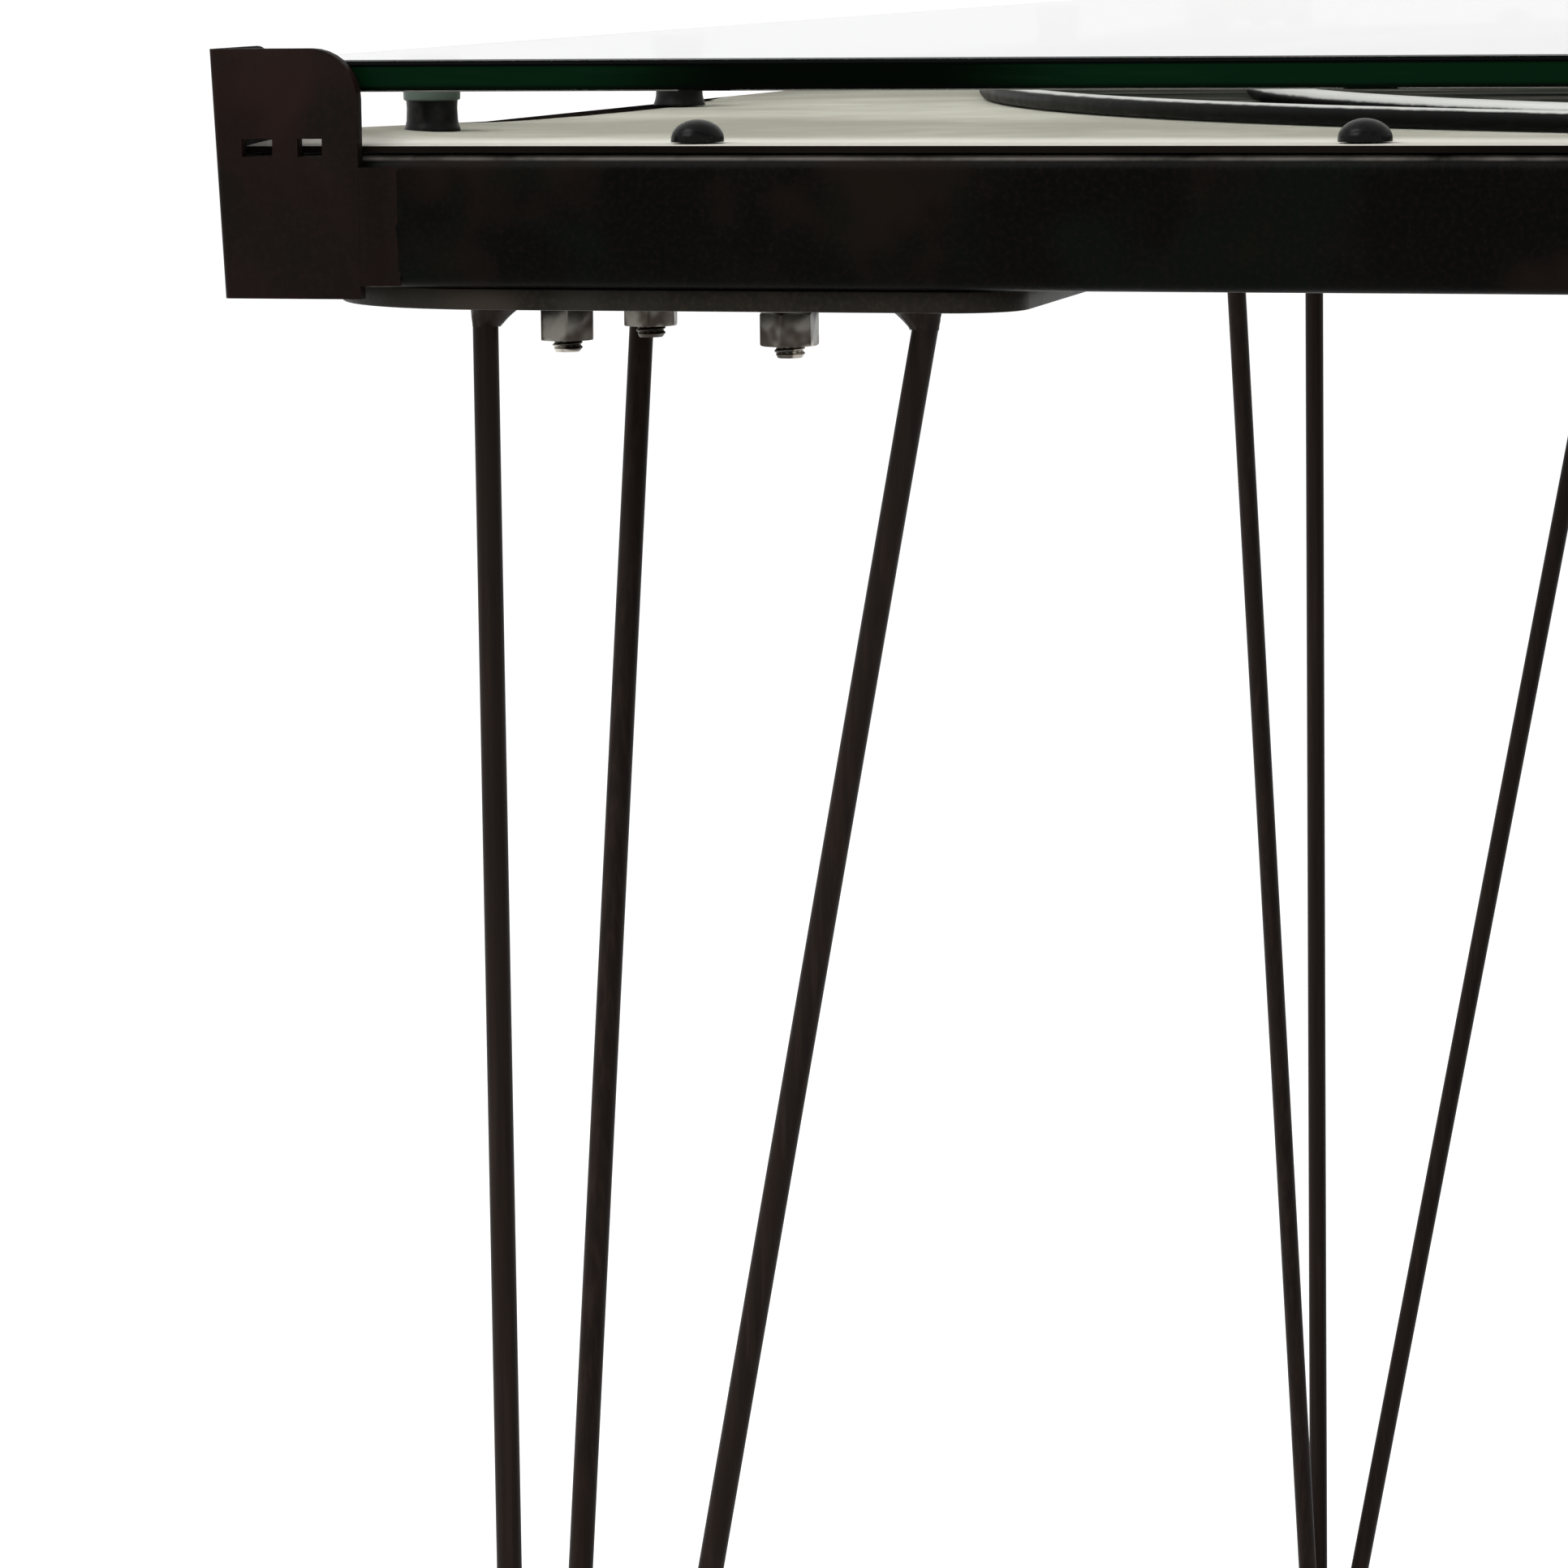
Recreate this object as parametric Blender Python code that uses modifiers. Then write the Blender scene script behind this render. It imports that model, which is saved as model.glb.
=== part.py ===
"""Glass-top coffee table: tube frame, hairpin legs, clear glass held by corner angles.

Metres, +Z up. The origin is on the floor under the middle of the table, and the front is at -Y.
"""

from math import atan2, cos, pi, sin, tan, tau

import bmesh
import bpy
from mathutils import Matrix, Vector

# Driving dimensions of the table
LENGTH = 0.815  # along the front, across the outer faces of the side rails
DEPTH = 0.711  # across the outer faces of the front and rear rails
RAIL_BOTTOM = 0.422  # floor to the underside of the rails
FIT = 0.0003  # working gap between touching pieces

# Rails: square tube
TUBE = 0.025
TUBE_WALL = 0.002
TUBE_BEND = 0.0033

# Panel and glass
PANEL_THICK = 0.0013
PANEL_INSET = 0.0008
PANEL_CORNER = 0.002
GLASS_THICK = 0.006
GLASS_INSET = 0.001
GLASS_CORNER = 0.003
GLASS_EDGE = 0.0006

# Corner angles that stand round the frame and keep the glass in place
POST_WIDTH = 0.028
POST_THICK = 0.0025
POST_BEND = 0.0016
POST_BELOW_RAIL = 0.002
POST_ABOVE_GLASS = 0.0023
POST_ROUND = 0.0095
POST_LEAN = 0.0022  # how far the flange on the side rail leans out at its top
SLOT_HEIGHT = 0.0034
SLOT_DROP = 0.0002  # middle of the slots below the panel's top
SLOTS = ((0.0045, 0.0107), (0.0158, 0.0208))  # ends of each slot, from the outer corner

# Bumpers under the glass, two near each corner, along the left and right rails
BUMPER_HEIGHT = 0.0095
BUMPER_LIP = 0.0004
BUMPER_HEAD_THICK = 0.0014
BUMPER_FLARE_LEVEL = 0.0022
BUMPER_FOOT_RADIUS = 0.0056
BUMPER_BODY_RADIUS = 0.0051
BUMPER_HEAD_RADIUS = 0.0057
BUMPER_IN = 0.013
BUMPERS_FROM_CORNER = (0.066, 0.211)

# Dome-head screws that hold the panel along the front and rear rails
DOME_RADIUS = 0.0050
DOME_HEIGHT = 0.0042
SCREW_RADIUS = 0.0018
SCREW_POINT_RADIUS = 0.0009
SCREW_HOLE_RADIUS = 0.0024
SCREW_LENGTH = 0.009
SCREW_IN = 0.0125
SCREW_FROM_CORNER = 0.0875
SCREWS_PER_SIDE = 6

# Gussets welded inside the frame's corners, and the leg plates bolted under them
GUSSET_THICK = 0.004
GUSSET_REACH = 0.145
GUSSET_TIP = 0.032
PLATE_THICK = 0.004
PLATE_INSET = 0.0043
PLATE_REACH = 0.153
PLATE_END_REACH = 0.1455
PLATE_END_DEPTH = 0.075
PLATE_CORNER_RADIUS = 0.043
PLATE_TIP_RADIUS = 0.012
PLATE_INNER_RADIUS = 0.010

# Leg bolts: places from the frame's outer corner, along X and along Y
BOLT_PLACES = ((0.0490, 0.0440), (0.0506, 0.0870), (0.0980, 0.0334))
BOLT_RADIUS = 0.0030
BOLT_HOLE_RADIUS = 0.0034
BOLT_HEAD_ACROSS_FLATS = 0.010
BOLT_HEAD_HEIGHT = 0.0040
BOLT_BELOW_PLATE = 0.0105
BOLT_POINT = 0.0007

# Legs: an upright rod and a slanted rod in one hairpin, and a second slanted rod as the brace
ROD_RADIUS = 0.0025
ROD_IN = 0.0354  # upright rod, from the rails' outer faces along X and along Y
ROD_OUT = 0.1253  # top of a slanted rod, measured the same way
HAIRPIN_BEND = 0.0055  # bend at the foot, to the middle of the rod

# Oval hoops of flat bar that lie on the panel: gaps from the rails' outer faces
OUTER_HOOP_GAPS = (0.0515, 0.0175)  # at the sides, at the front and rear
INNER_HOOP_GAPS = (0.1135, 0.0375)
HOOP_BAR_WIDTH = 0.005
HOOP_BAR_HEIGHT = 0.0038

# Facets
BEND_STEPS = 4
BORE_STEPS = 1
ROUND_SIDES = 16
PLATE_STEPS = 6
BOLT_HOLE_SIDES = 12
ROD_FACETS = 4
HOOP_SIDES = 72
FOOT_STEPS = 8
LATHE_STEPS = 12
SHARP_ANGLE = pi / 5
GLASS_EDGE_ANGLE = pi / 3
WELD_DISTANCE = 1e-6

# Levels, worked out upwards from the floor
RAIL_TOP = RAIL_BOTTOM + TUBE
PANEL_BOTTOM = RAIL_TOP + FIT
PANEL_TOP = PANEL_BOTTOM + PANEL_THICK
BUMPER_BOTTOM = PANEL_TOP + FIT
GLASS_BOTTOM = BUMPER_BOTTOM + BUMPER_HEIGHT + FIT
GLASS_TOP = GLASS_BOTTOM + GLASS_THICK
PLATE_TOP = RAIL_BOTTOM - FIT
PLATE_BOTTOM = PLATE_TOP - PLATE_THICK
GUSSET_TOP = RAIL_BOTTOM + GUSSET_THICK
POST_BOTTOM = RAIL_BOTTOM - POST_BELOW_RAIL
POST_TOP = GLASS_TOP + POST_ABOVE_GLASS
HALF_LENGTH = LENGTH / 2
HALF_DEPTH = DEPTH / 2

CORNERS = {
    "front_left": (-1, -1),
    "front_right": (1, -1),
    "rear_left": (-1, 1),
    "rear_right": (1, 1),
}


def new_collection(name):
    collection = bpy.data.collections.new(name)
    bpy.context.scene.collection.children.link(collection)
    return collection


def new_material(name, colour, roughness, metallic):
    material = bpy.data.materials.new(name)
    material.use_nodes = True
    shader = material.node_tree.nodes["Principled BSDF"]
    shader.inputs["Base Color"].default_value = (*colour, 1.0)
    shader.inputs["Roughness"].default_value = roughness
    shader.inputs["Metallic"].default_value = metallic
    return material


def place(name, data, material, location=(0, 0, 0), rotation=(0, 0, 0)):
    """A named part of the table, with its material."""
    part = bpy.data.objects.new(name, data)
    part.location = location
    part.rotation_euler = rotation
    data.materials.clear()
    data.materials.append(material)
    parts.objects.link(part)
    return part


def as_cutter(name, mesh):
    cutter = bpy.data.objects.new(name, mesh)
    cutter.hide_render = True
    cutter.display_type = "WIRE"
    cutters.objects.link(cutter)
    return cutter


def cut(part, cutter):
    modifier = part.modifiers.new("cut", "BOOLEAN")
    modifier.operation = "DIFFERENCE"
    modifier.solver = "EXACT"
    modifier.object = cutter


def circle(centre, radius, sides=ROUND_SIDES):
    x, y = centre
    angles = [tau * step / sides for step in range(sides)]
    return [(x + radius * cos(angle), y + radius * sin(angle)) for angle in angles]


def rounded(corners, radii, steps=BEND_STEPS):
    """An outline whose corners are arcs; a radius of 0 leaves a corner sharp."""
    outline = []
    for index, (corner, radius) in enumerate(zip(corners, radii)):
        here = Vector(corner)
        back = (Vector(corners[index - 1]) - here).normalized()
        ahead = (Vector(corners[(index + 1) % len(corners)]) - here).normalized()
        if radius == 0:
            outline.append(tuple(here))
            continue
        half_angle = back.angle(ahead) / 2
        centre = here + (back + ahead).normalized() * radius / sin(half_angle)
        start = here + back * radius / tan(half_angle) - centre
        sweep = start.angle_signed(here + ahead * radius / tan(half_angle) - centre)
        for step in range(steps + 1):
            turn = Matrix.Rotation(-sweep * step / steps, 2)
            outline.append(tuple(centre + turn @ start))
    return outline


def rectangle(width, depth):
    x = width / 2
    y = depth / 2
    return [(x, y), (-x, y), (-x, -y), (x, -y)]


def flat_curve(name, loops, thickness):
    """A flat plate from an outline and the outlines of its holes, centred on its thickness."""
    curve = bpy.data.curves.new(name, "CURVE")
    curve.dimensions = "2D"
    curve.fill_mode = "BOTH"
    curve.extrude = thickness / 2
    for loop in loops:
        spline = curve.splines.new("POLY")
        spline.points.add(len(loop) - 1)
        for point, (x, y) in zip(spline.points, loop):
            point.co = (x, y, 0, 1)
        spline.use_cyclic_u = True
    return curve


def rod_curve(name, points):
    curve = bpy.data.curves.new(name, "CURVE")
    curve.dimensions = "3D"
    curve.bevel_depth = ROD_RADIUS
    curve.bevel_resolution = ROD_FACETS
    curve.use_fill_caps = True
    spline = curve.splines.new("POLY")
    spline.points.add(len(points) - 1)
    for point, place_on_rod in zip(spline.points, points):
        point.co = (*place_on_rod, 1)
    return curve


def mesh_from_curve(curve):
    """The curve as a closed mesh, with its caps welded to its sides."""
    holder = bpy.data.objects.new(curve.name, curve)
    bpy.context.scene.collection.objects.link(holder)
    evaluated = holder.evaluated_get(bpy.context.evaluated_depsgraph_get())
    mesh = bpy.data.meshes.new_from_object(evaluated)
    bpy.data.objects.remove(holder)
    shape = bmesh.new()
    shape.from_mesh(mesh)
    bmesh.ops.remove_doubles(shape, verts=shape.verts, dist=WELD_DISTANCE)
    bmesh.ops.recalc_face_normals(shape, faces=shape.faces)
    shape.to_mesh(mesh)
    shape.free()
    return mesh


def joined_cylinders(name, places, radius, length):
    """Upright cylinders in one mesh, for cutting a row of holes."""
    shape = bmesh.new()
    for x, y, z in places:
        bmesh.ops.create_cone(
            shape,
            cap_ends=True,
            segments=ROUND_SIDES,
            radius1=radius,
            radius2=radius,
            depth=length,
            matrix=Matrix.Translation((x, y, z)),
        )
    mesh = bpy.data.meshes.new(name)
    shape.to_mesh(mesh)
    shape.free()
    return mesh


def turned(name, profile):
    """A turned solid from (radius, height) points that run from the top down to the bottom."""
    mesh = bpy.data.meshes.new(name)
    shape = bmesh.new()
    verts = [shape.verts.new((radius, 0, height)) for radius, height in profile]
    edges = [shape.edges.new(pair) for pair in zip(verts, verts[1:])]
    bmesh.ops.spin(
        shape,
        geom=verts + edges,
        cent=(0, 0, 0),
        axis=(0, 0, 1),
        angle=tau,
        steps=LATHE_STEPS,
        use_merge=True,
    )
    bmesh.ops.remove_doubles(shape, verts=shape.verts, dist=WELD_DISTANCE)
    bmesh.ops.recalc_face_normals(shape, faces=shape.faces)
    shape.to_mesh(mesh)
    shape.free()
    mesh.shade_smooth()
    mesh.set_sharp_from_angle(angle=SHARP_ANGLE)
    return mesh


def screw_places():
    """Name and place of every panel screw, evenly spaced along the front and rear rails."""
    step = (LENGTH - 2 * SCREW_FROM_CORNER) / (SCREWS_PER_SIDE - 1)
    for side, sy in (("front", -1), ("rear", 1)):
        for index in range(SCREWS_PER_SIDE):
            x = SCREW_FROM_CORNER - HALF_LENGTH + step * index
            yield f"{side}_{index + 1}", x, sy * (HALF_DEPTH - SCREW_IN)


def rail_profile():
    outer = rounded(rectangle(TUBE, TUBE), [TUBE_BEND] * 4)
    bore = TUBE - 2 * TUBE_WALL
    inner = rounded(rectangle(bore, bore), [TUBE_BEND - TUBE_WALL] * 4, BORE_STEPS)
    return [outer, inner]


def build_rails():
    """Front and rear tubes run the full length, and the side tubes fit between them."""
    height = RAIL_BOTTOM + TUBE / 2
    holes = [(x, y, RAIL_TOP) for _, x, y in screw_places()]
    drill = as_cutter(
        "screw_drill",
        joined_cylinders("screw_drill", holes, SCREW_HOLE_RADIUS, TUBE / 2),
    )
    for name, sy in (("front_rail", -1), ("rear_rail", 1)):
        mesh = mesh_from_curve(flat_curve(name, rail_profile(), LENGTH))
        spot = (0, sy * (HALF_DEPTH - TUBE / 2), height)
        rail = place(name, mesh, steel, spot, (0, pi / 2, 0))
        cut(rail, drill)
    side_length = DEPTH - 2 * TUBE - 2 * FIT
    for name, sx in (("left_rail", -1), ("right_rail", 1)):
        mesh = mesh_from_curve(flat_curve(name, rail_profile(), side_length))
        spot = (sx * (HALF_LENGTH - TUBE / 2), 0, height)
        place(name, mesh, steel, spot, (pi / 2, 0, 0))


def build_panel():
    sheet = rectangle(LENGTH - 2 * PANEL_INSET, DEPTH - 2 * PANEL_INSET)
    outline = rounded(sheet, [PANEL_CORNER] * 4)
    holes = [circle((x, y), SCREW_HOLE_RADIUS) for _, x, y in screw_places()]
    mesh = mesh_from_curve(flat_curve("base_panel", [outline, *holes], PANEL_THICK))
    place("base_panel", mesh, board, (0, 0, PANEL_BOTTOM + PANEL_THICK / 2))


def build_screws():
    """Dome heads on the panel, with the shank down through the rail's top wall."""
    rise = [pi / 2 * step / BEND_STEPS for step in range(BEND_STEPS + 1)]
    dome = [(DOME_RADIUS * sin(angle), DOME_HEIGHT * cos(angle)) for angle in rise]
    shank = [
        (SCREW_RADIUS, 0),
        (SCREW_RADIUS, SCREW_RADIUS - SCREW_LENGTH),
        (SCREW_POINT_RADIUS, -SCREW_LENGTH),
        (0, -SCREW_LENGTH),
    ]
    mesh = turned("dome_screw", dome + shank)
    for name, x, y in screw_places():
        place(f"dome_screw_{name}", mesh, black_steel, (x, y, PANEL_TOP + FIT))


def build_bumpers():
    """Rubber buttons with a flared foot, a straight body and a flat head."""
    profile = [
        (0, BUMPER_HEIGHT),
        (BUMPER_HEAD_RADIUS - BUMPER_LIP, BUMPER_HEIGHT),
        (BUMPER_HEAD_RADIUS, BUMPER_HEIGHT - BUMPER_LIP),
        (BUMPER_HEAD_RADIUS, BUMPER_HEIGHT - BUMPER_HEAD_THICK),
        (BUMPER_BODY_RADIUS, BUMPER_HEIGHT - BUMPER_HEAD_THICK),
        (BUMPER_BODY_RADIUS, BUMPER_FLARE_LEVEL),
        (BUMPER_FOOT_RADIUS, BUMPER_LIP),
        (BUMPER_FOOT_RADIUS, 0),
        (0, 0),
    ]
    mesh = turned("bumper", profile)
    near = [distance - HALF_DEPTH for distance in BUMPERS_FROM_CORNER]
    far = [-y for y in reversed(near)]
    for side, sx in (("left", -1), ("right", 1)):
        for number, y in enumerate(near + far, 1):
            spot = (sx * (HALF_LENGTH - BUMPER_IN), y, BUMPER_BOTTOM)
            place(f"glass_bumper_{side}_{number}", mesh, rubber, spot)


def build_glass():
    pane = rectangle(LENGTH - 2 * GLASS_INSET, DEPTH - 2 * GLASS_INSET)
    outline = rounded(pane, [GLASS_CORNER] * 4)
    mesh = mesh_from_curve(flat_curve("glass_top", [outline], GLASS_THICK))
    top = place("glass_top", mesh, glass, (0, 0, GLASS_BOTTOM + GLASS_THICK / 2))
    edge = top.modifiers.new("ground_edge", "BEVEL")
    edge.width = GLASS_EDGE
    edge.segments = 1
    edge.limit_method = "ANGLE"
    edge.angle_limit = GLASS_EDGE_ANGLE


def round_free_corners(mesh, reach):
    """Rounds the upper free corner of both flanges of an upright angle."""
    shape = bmesh.new()
    shape.from_mesh(mesh)
    free = []
    for edge in shape.edges:
        ends = [vert.co for vert in edge.verts]
        level = all(end.z > 0 for end in ends) and abs(ends[0].z - ends[1].z) < FIT
        on_end = all(max(abs(end.x), abs(end.y)) > reach - FIT for end in ends)
        if level and on_end:
            free.append(edge)
    bmesh.ops.bevel(
        shape, geom=free, offset=POST_ROUND, segments=BEND_STEPS, profile=0.5, affect="EDGES"
    )
    shape.to_mesh(mesh)
    shape.free()


def lean_out(mesh, outwards, height):
    """Leans the flange on the side rail outwards, from nothing at its foot."""
    for vert in mesh.vertices:
        if abs(vert.co.x) < POST_THICK + FIT:
            vert.co.x += outwards * POST_LEAN * (vert.co.z / height + 0.5)


def build_posts():
    """Folded angles round the frame's corners, from below the rails to above the glass."""
    outside = FIT + POST_THICK
    height = POST_TOP - POST_BOTTOM
    middle = (POST_TOP + POST_BOTTOM) / 2
    for name, (sx, sy) in CORNERS.items():
        corners = [
            (0, 0),
            (POST_WIDTH, 0),
            (POST_WIDTH, POST_THICK),
            (POST_THICK, POST_THICK),
            (POST_THICK, POST_WIDTH),
            (0, POST_WIDTH),
        ]
        bend = rounded(corners, [POST_BEND, 0, 0, 0, 0, 0])
        outline = [(-sx * x, -sy * y) for x, y in bend]
        label = f"corner_post_{name}"
        corner_x = sx * (HALF_LENGTH + outside)
        corner_y = sy * (HALF_DEPTH + outside)
        mesh = mesh_from_curve(flat_curve(label, [outline], height))
        round_free_corners(mesh, POST_WIDTH)
        lean_out(mesh, sx, height)
        post = place(label, mesh, steel, (corner_x, corner_y, middle))
        slots = bmesh.new()
        for start, end in SLOTS:
            spot = Matrix.Translation((-sx * (start + end) / 2, -sy * POST_THICK / 2, 0))
            size = Matrix.Diagonal((end - start, POST_THICK * 3, SLOT_HEIGHT, 1))
            bmesh.ops.create_cube(slots, size=1, matrix=spot @ size)
        slot_mesh = bpy.data.meshes.new(f"slots_{name}")
        slots.to_mesh(slot_mesh)
        slots.free()
        slot_cutter = as_cutter(f"slots_{name}", slot_mesh)
        slot_cutter.location = (corner_x, corner_y, PANEL_TOP - SLOT_DROP)
        cut(post, slot_cutter)


def corner_plate(name, corners, radii, sx, sy, thickness, bottom, material):
    """A plate laid out from a frame corner, with the three leg-bolt holes."""
    outline = [(-sx * x, -sy * y) for x, y in rounded(corners, radii, PLATE_STEPS)]
    holes = [
        circle((-sx * x, -sy * y), BOLT_HOLE_RADIUS, BOLT_HOLE_SIDES) for x, y in BOLT_PLACES
    ]
    mesh = mesh_from_curve(flat_curve(name, [outline, *holes], thickness))
    spot = (sx * HALF_LENGTH, sy * HALF_DEPTH, bottom + thickness / 2)
    place(name, mesh, material, spot)


def build_leg_plates():
    inner = TUBE + FIT
    gusset = [
        (inner, inner),
        (GUSSET_REACH, inner),
        (GUSSET_REACH, inner + GUSSET_TIP),
        (inner + GUSSET_TIP, GUSSET_REACH),
        (inner, GUSSET_REACH),
    ]
    plate = [
        (PLATE_INSET, PLATE_INSET),
        (PLATE_REACH, PLATE_INSET),
        (PLATE_END_REACH, PLATE_END_DEPTH),
        (PLATE_END_DEPTH, PLATE_END_REACH),
        (PLATE_INSET, PLATE_REACH),
    ]
    tips = [PLATE_TIP_RADIUS, PLATE_INNER_RADIUS]
    rounds = [PLATE_CORNER_RADIUS, *tips, *reversed(tips)]
    for name, (sx, sy) in CORNERS.items():
        corner_plate(
            f"corner_gusset_{name}", gusset, [0] * 5, sx, sy, GUSSET_THICK, RAIL_BOTTOM, steel
        )
        corner_plate(
            f"leg_plate_{name}",
            plate,
            rounds,
            sx,
            sy,
            PLATE_THICK,
            PLATE_BOTTOM,
            steel,
        )


def bolt_mesh():
    """A hex head on a round shank, with its seat at the height of the origin."""
    length = GUSSET_TOP + FIT - PLATE_BOTTOM + BOLT_BELOW_PLATE
    shank = [
        (0, BOLT_HEAD_HEIGHT / 2),
        (BOLT_RADIUS, BOLT_HEAD_HEIGHT / 2),
        (BOLT_RADIUS, BOLT_POINT - length),
        (BOLT_RADIUS - BOLT_POINT, -length),
        (0, -length),
    ]
    shank_cutter = as_cutter("bolt_shank", turned("bolt_shank", shank))
    head_mesh = bpy.data.meshes.new("bolt_head")
    head = bmesh.new()
    corner_radius = BOLT_HEAD_ACROSS_FLATS / 2 / cos(pi / 6)
    bmesh.ops.create_cone(
        head,
        cap_ends=True,
        segments=6,
        radius1=corner_radius,
        radius2=corner_radius,
        depth=BOLT_HEAD_HEIGHT,
        matrix=Matrix.Translation((0, 0, BOLT_HEAD_HEIGHT / 2)),
    )
    head.to_mesh(head_mesh)
    head.free()
    blank = as_cutter("bolt_blank", head_mesh)
    union = blank.modifiers.new("shank", "BOOLEAN")
    union.operation = "UNION"
    union.solver = "EXACT"
    union.object = shank_cutter
    evaluated = blank.evaluated_get(bpy.context.evaluated_depsgraph_get())
    return bpy.data.meshes.new_from_object(evaluated)


def build_bolts():
    mesh = bolt_mesh()
    for name, (sx, sy) in CORNERS.items():
        for number, (x, y) in enumerate(BOLT_PLACES, 1):
            spot = (sx * (HALF_LENGTH - x), sy * (HALF_DEPTH - y), GUSSET_TOP + FIT)
            place(f"leg_bolt_{name}_{number}", mesh, zinc, spot)


def foot_tilt(top):
    """Angle of a slanted rod from the upright, where it leaves the foot bend as a tangent."""
    tilt = 0.0
    for _ in range(12):
        run = ROD_OUT - (ROD_IN + HAIRPIN_BEND + HAIRPIN_BEND * cos(tilt))
        rise = top - (ROD_RADIUS + HAIRPIN_BEND - HAIRPIN_BEND * sin(tilt))
        tilt = atan2(run, rise)
    return tilt


def foot_arc(start, end):
    """Points of the foot bend as (distance in from the corner, height), between two angles."""
    for step in range(FOOT_STEPS + 1):
        angle = start + (end - start) * step / FOOT_STEPS
        yield (
            ROD_IN + HAIRPIN_BEND + HAIRPIN_BEND * cos(angle),
            ROD_RADIUS + HAIRPIN_BEND + HAIRPIN_BEND * sin(angle),
        )


def build_legs():
    """Per leg: one hairpin in a plane along X, and a brace along Y that ends at its bend."""
    upright_top = PLATE_BOTTOM - FIT
    tilt = foot_tilt(upright_top)
    slanted_top = upright_top - ROD_RADIUS * sin(tilt)
    for name, (sx, sy) in CORNERS.items():
        corner = (sx * HALF_LENGTH, sy * HALF_DEPTH, 0)
        side_view = [(ROD_IN, upright_top), *foot_arc(pi, tau - tilt), (ROD_OUT, slanted_top)]
        hairpin = [(-sx * along, -sy * ROD_IN, height) for along, height in side_view]
        place(f"hairpin_rod_{name}", rod_curve("hairpin", hairpin), black_steel, corner)
        heel = ROD_IN + ROD_RADIUS + FIT
        brace_view = [(ROD_OUT, slanted_top), *foot_arc(tau - tilt, tau * 3 / 4)]
        brace_view.append((heel, ROD_RADIUS))
        brace = [(-sx * ROD_IN, -sy * along, height) for along, height in brace_view]
        place(f"brace_rod_{name}", rod_curve("brace", brace), black_steel, corner)


def oval(half_width, half_depth):
    angles = [tau * step / HOOP_SIDES for step in range(HOOP_SIDES)]
    return [(half_width * cos(angle), half_depth * sin(angle)) for angle in angles]


def build_hoops():
    """Two nested oval hoops of flat bar, laid on the panel under the glass."""
    level = PANEL_TOP + FIT + HOOP_BAR_HEIGHT / 2
    for name, gaps in (("outer_hoop", OUTER_HOOP_GAPS), ("inner_hoop", INNER_HOOP_GAPS)):
        across = HALF_LENGTH - gaps[0]
        deep = HALF_DEPTH - gaps[1]
        loops = [oval(across, deep), oval(across - HOOP_BAR_WIDTH, deep - HOOP_BAR_WIDTH)]
        mesh = mesh_from_curve(flat_curve(name, loops, HOOP_BAR_HEIGHT))
        place(name, mesh, iron, (0, 0, level))


for leftover in list(bpy.data.objects):
    bpy.data.objects.remove(leftover)

parts = new_collection("glass_top_coffee_table")
cutters = new_collection("cutters")

steel = new_material("patina_steel", (0.022, 0.014, 0.012), 0.45, 0.7)
black_steel = new_material("black_rod", (0.016, 0.013, 0.011), 0.42, 0.7)
zinc = new_material("zinc_plate", (0.55, 0.56, 0.58), 0.32, 1.0)
iron = new_material("worn_iron", (0.10, 0.10, 0.105), 0.35, 0.9)
board = new_material("pale_board", (0.52, 0.49, 0.43), 0.6, 0.0)
rubber = new_material("black_rubber", (0.010, 0.010, 0.010), 0.35, 0.0)
glass = new_material("green_glass", (0.80, 0.92, 0.87), 0.03, 0.0)

build_rails()
build_panel()
build_screws()
build_bumpers()
build_glass()
build_posts()
build_leg_plates()
build_bolts()
build_legs()
build_hoops()
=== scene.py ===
# %% [markdown]
# A glass-top coffee table on hairpin legs. The solids of the table are loaded as a fixed frame, and
# this lesson dresses them: pieces that need smooth bends or small detail are modelled again over
# their solids, the rest get finishes, and then come the floor, the light and the camera.

# %% Load the table's solids
from math import atan2, cos, pi, radians, sin, tau

import bmesh
import bpy
from mathutils import Matrix, Vector


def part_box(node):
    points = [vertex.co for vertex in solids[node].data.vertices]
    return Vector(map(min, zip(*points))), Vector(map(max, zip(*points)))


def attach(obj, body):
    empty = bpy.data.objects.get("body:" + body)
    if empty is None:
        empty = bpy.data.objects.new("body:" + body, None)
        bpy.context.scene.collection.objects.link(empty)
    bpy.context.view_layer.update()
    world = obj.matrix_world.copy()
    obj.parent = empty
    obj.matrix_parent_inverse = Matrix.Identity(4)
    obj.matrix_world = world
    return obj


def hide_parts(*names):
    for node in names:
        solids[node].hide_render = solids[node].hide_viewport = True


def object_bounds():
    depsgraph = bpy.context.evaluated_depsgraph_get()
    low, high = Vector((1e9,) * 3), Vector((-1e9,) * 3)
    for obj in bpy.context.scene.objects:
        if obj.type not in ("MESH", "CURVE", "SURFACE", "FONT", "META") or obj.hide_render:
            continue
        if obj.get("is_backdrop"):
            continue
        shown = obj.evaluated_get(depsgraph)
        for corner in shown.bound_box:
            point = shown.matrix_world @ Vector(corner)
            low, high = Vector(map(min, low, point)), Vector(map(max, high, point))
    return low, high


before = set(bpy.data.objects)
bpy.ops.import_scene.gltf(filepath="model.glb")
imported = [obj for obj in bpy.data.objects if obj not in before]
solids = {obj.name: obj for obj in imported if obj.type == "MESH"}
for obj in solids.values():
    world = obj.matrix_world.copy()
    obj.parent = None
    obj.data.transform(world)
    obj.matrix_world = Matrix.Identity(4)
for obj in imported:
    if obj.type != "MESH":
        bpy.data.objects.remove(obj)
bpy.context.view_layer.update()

# %% [markdown]
# The camera stands where the photograph was taken: close to the front left corner, a hand's breadth
# above the glass, with a long lens. Its place and turn were found by matching the rods, the rails
# and the glass edge, so they are written here as plain numbers.

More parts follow.
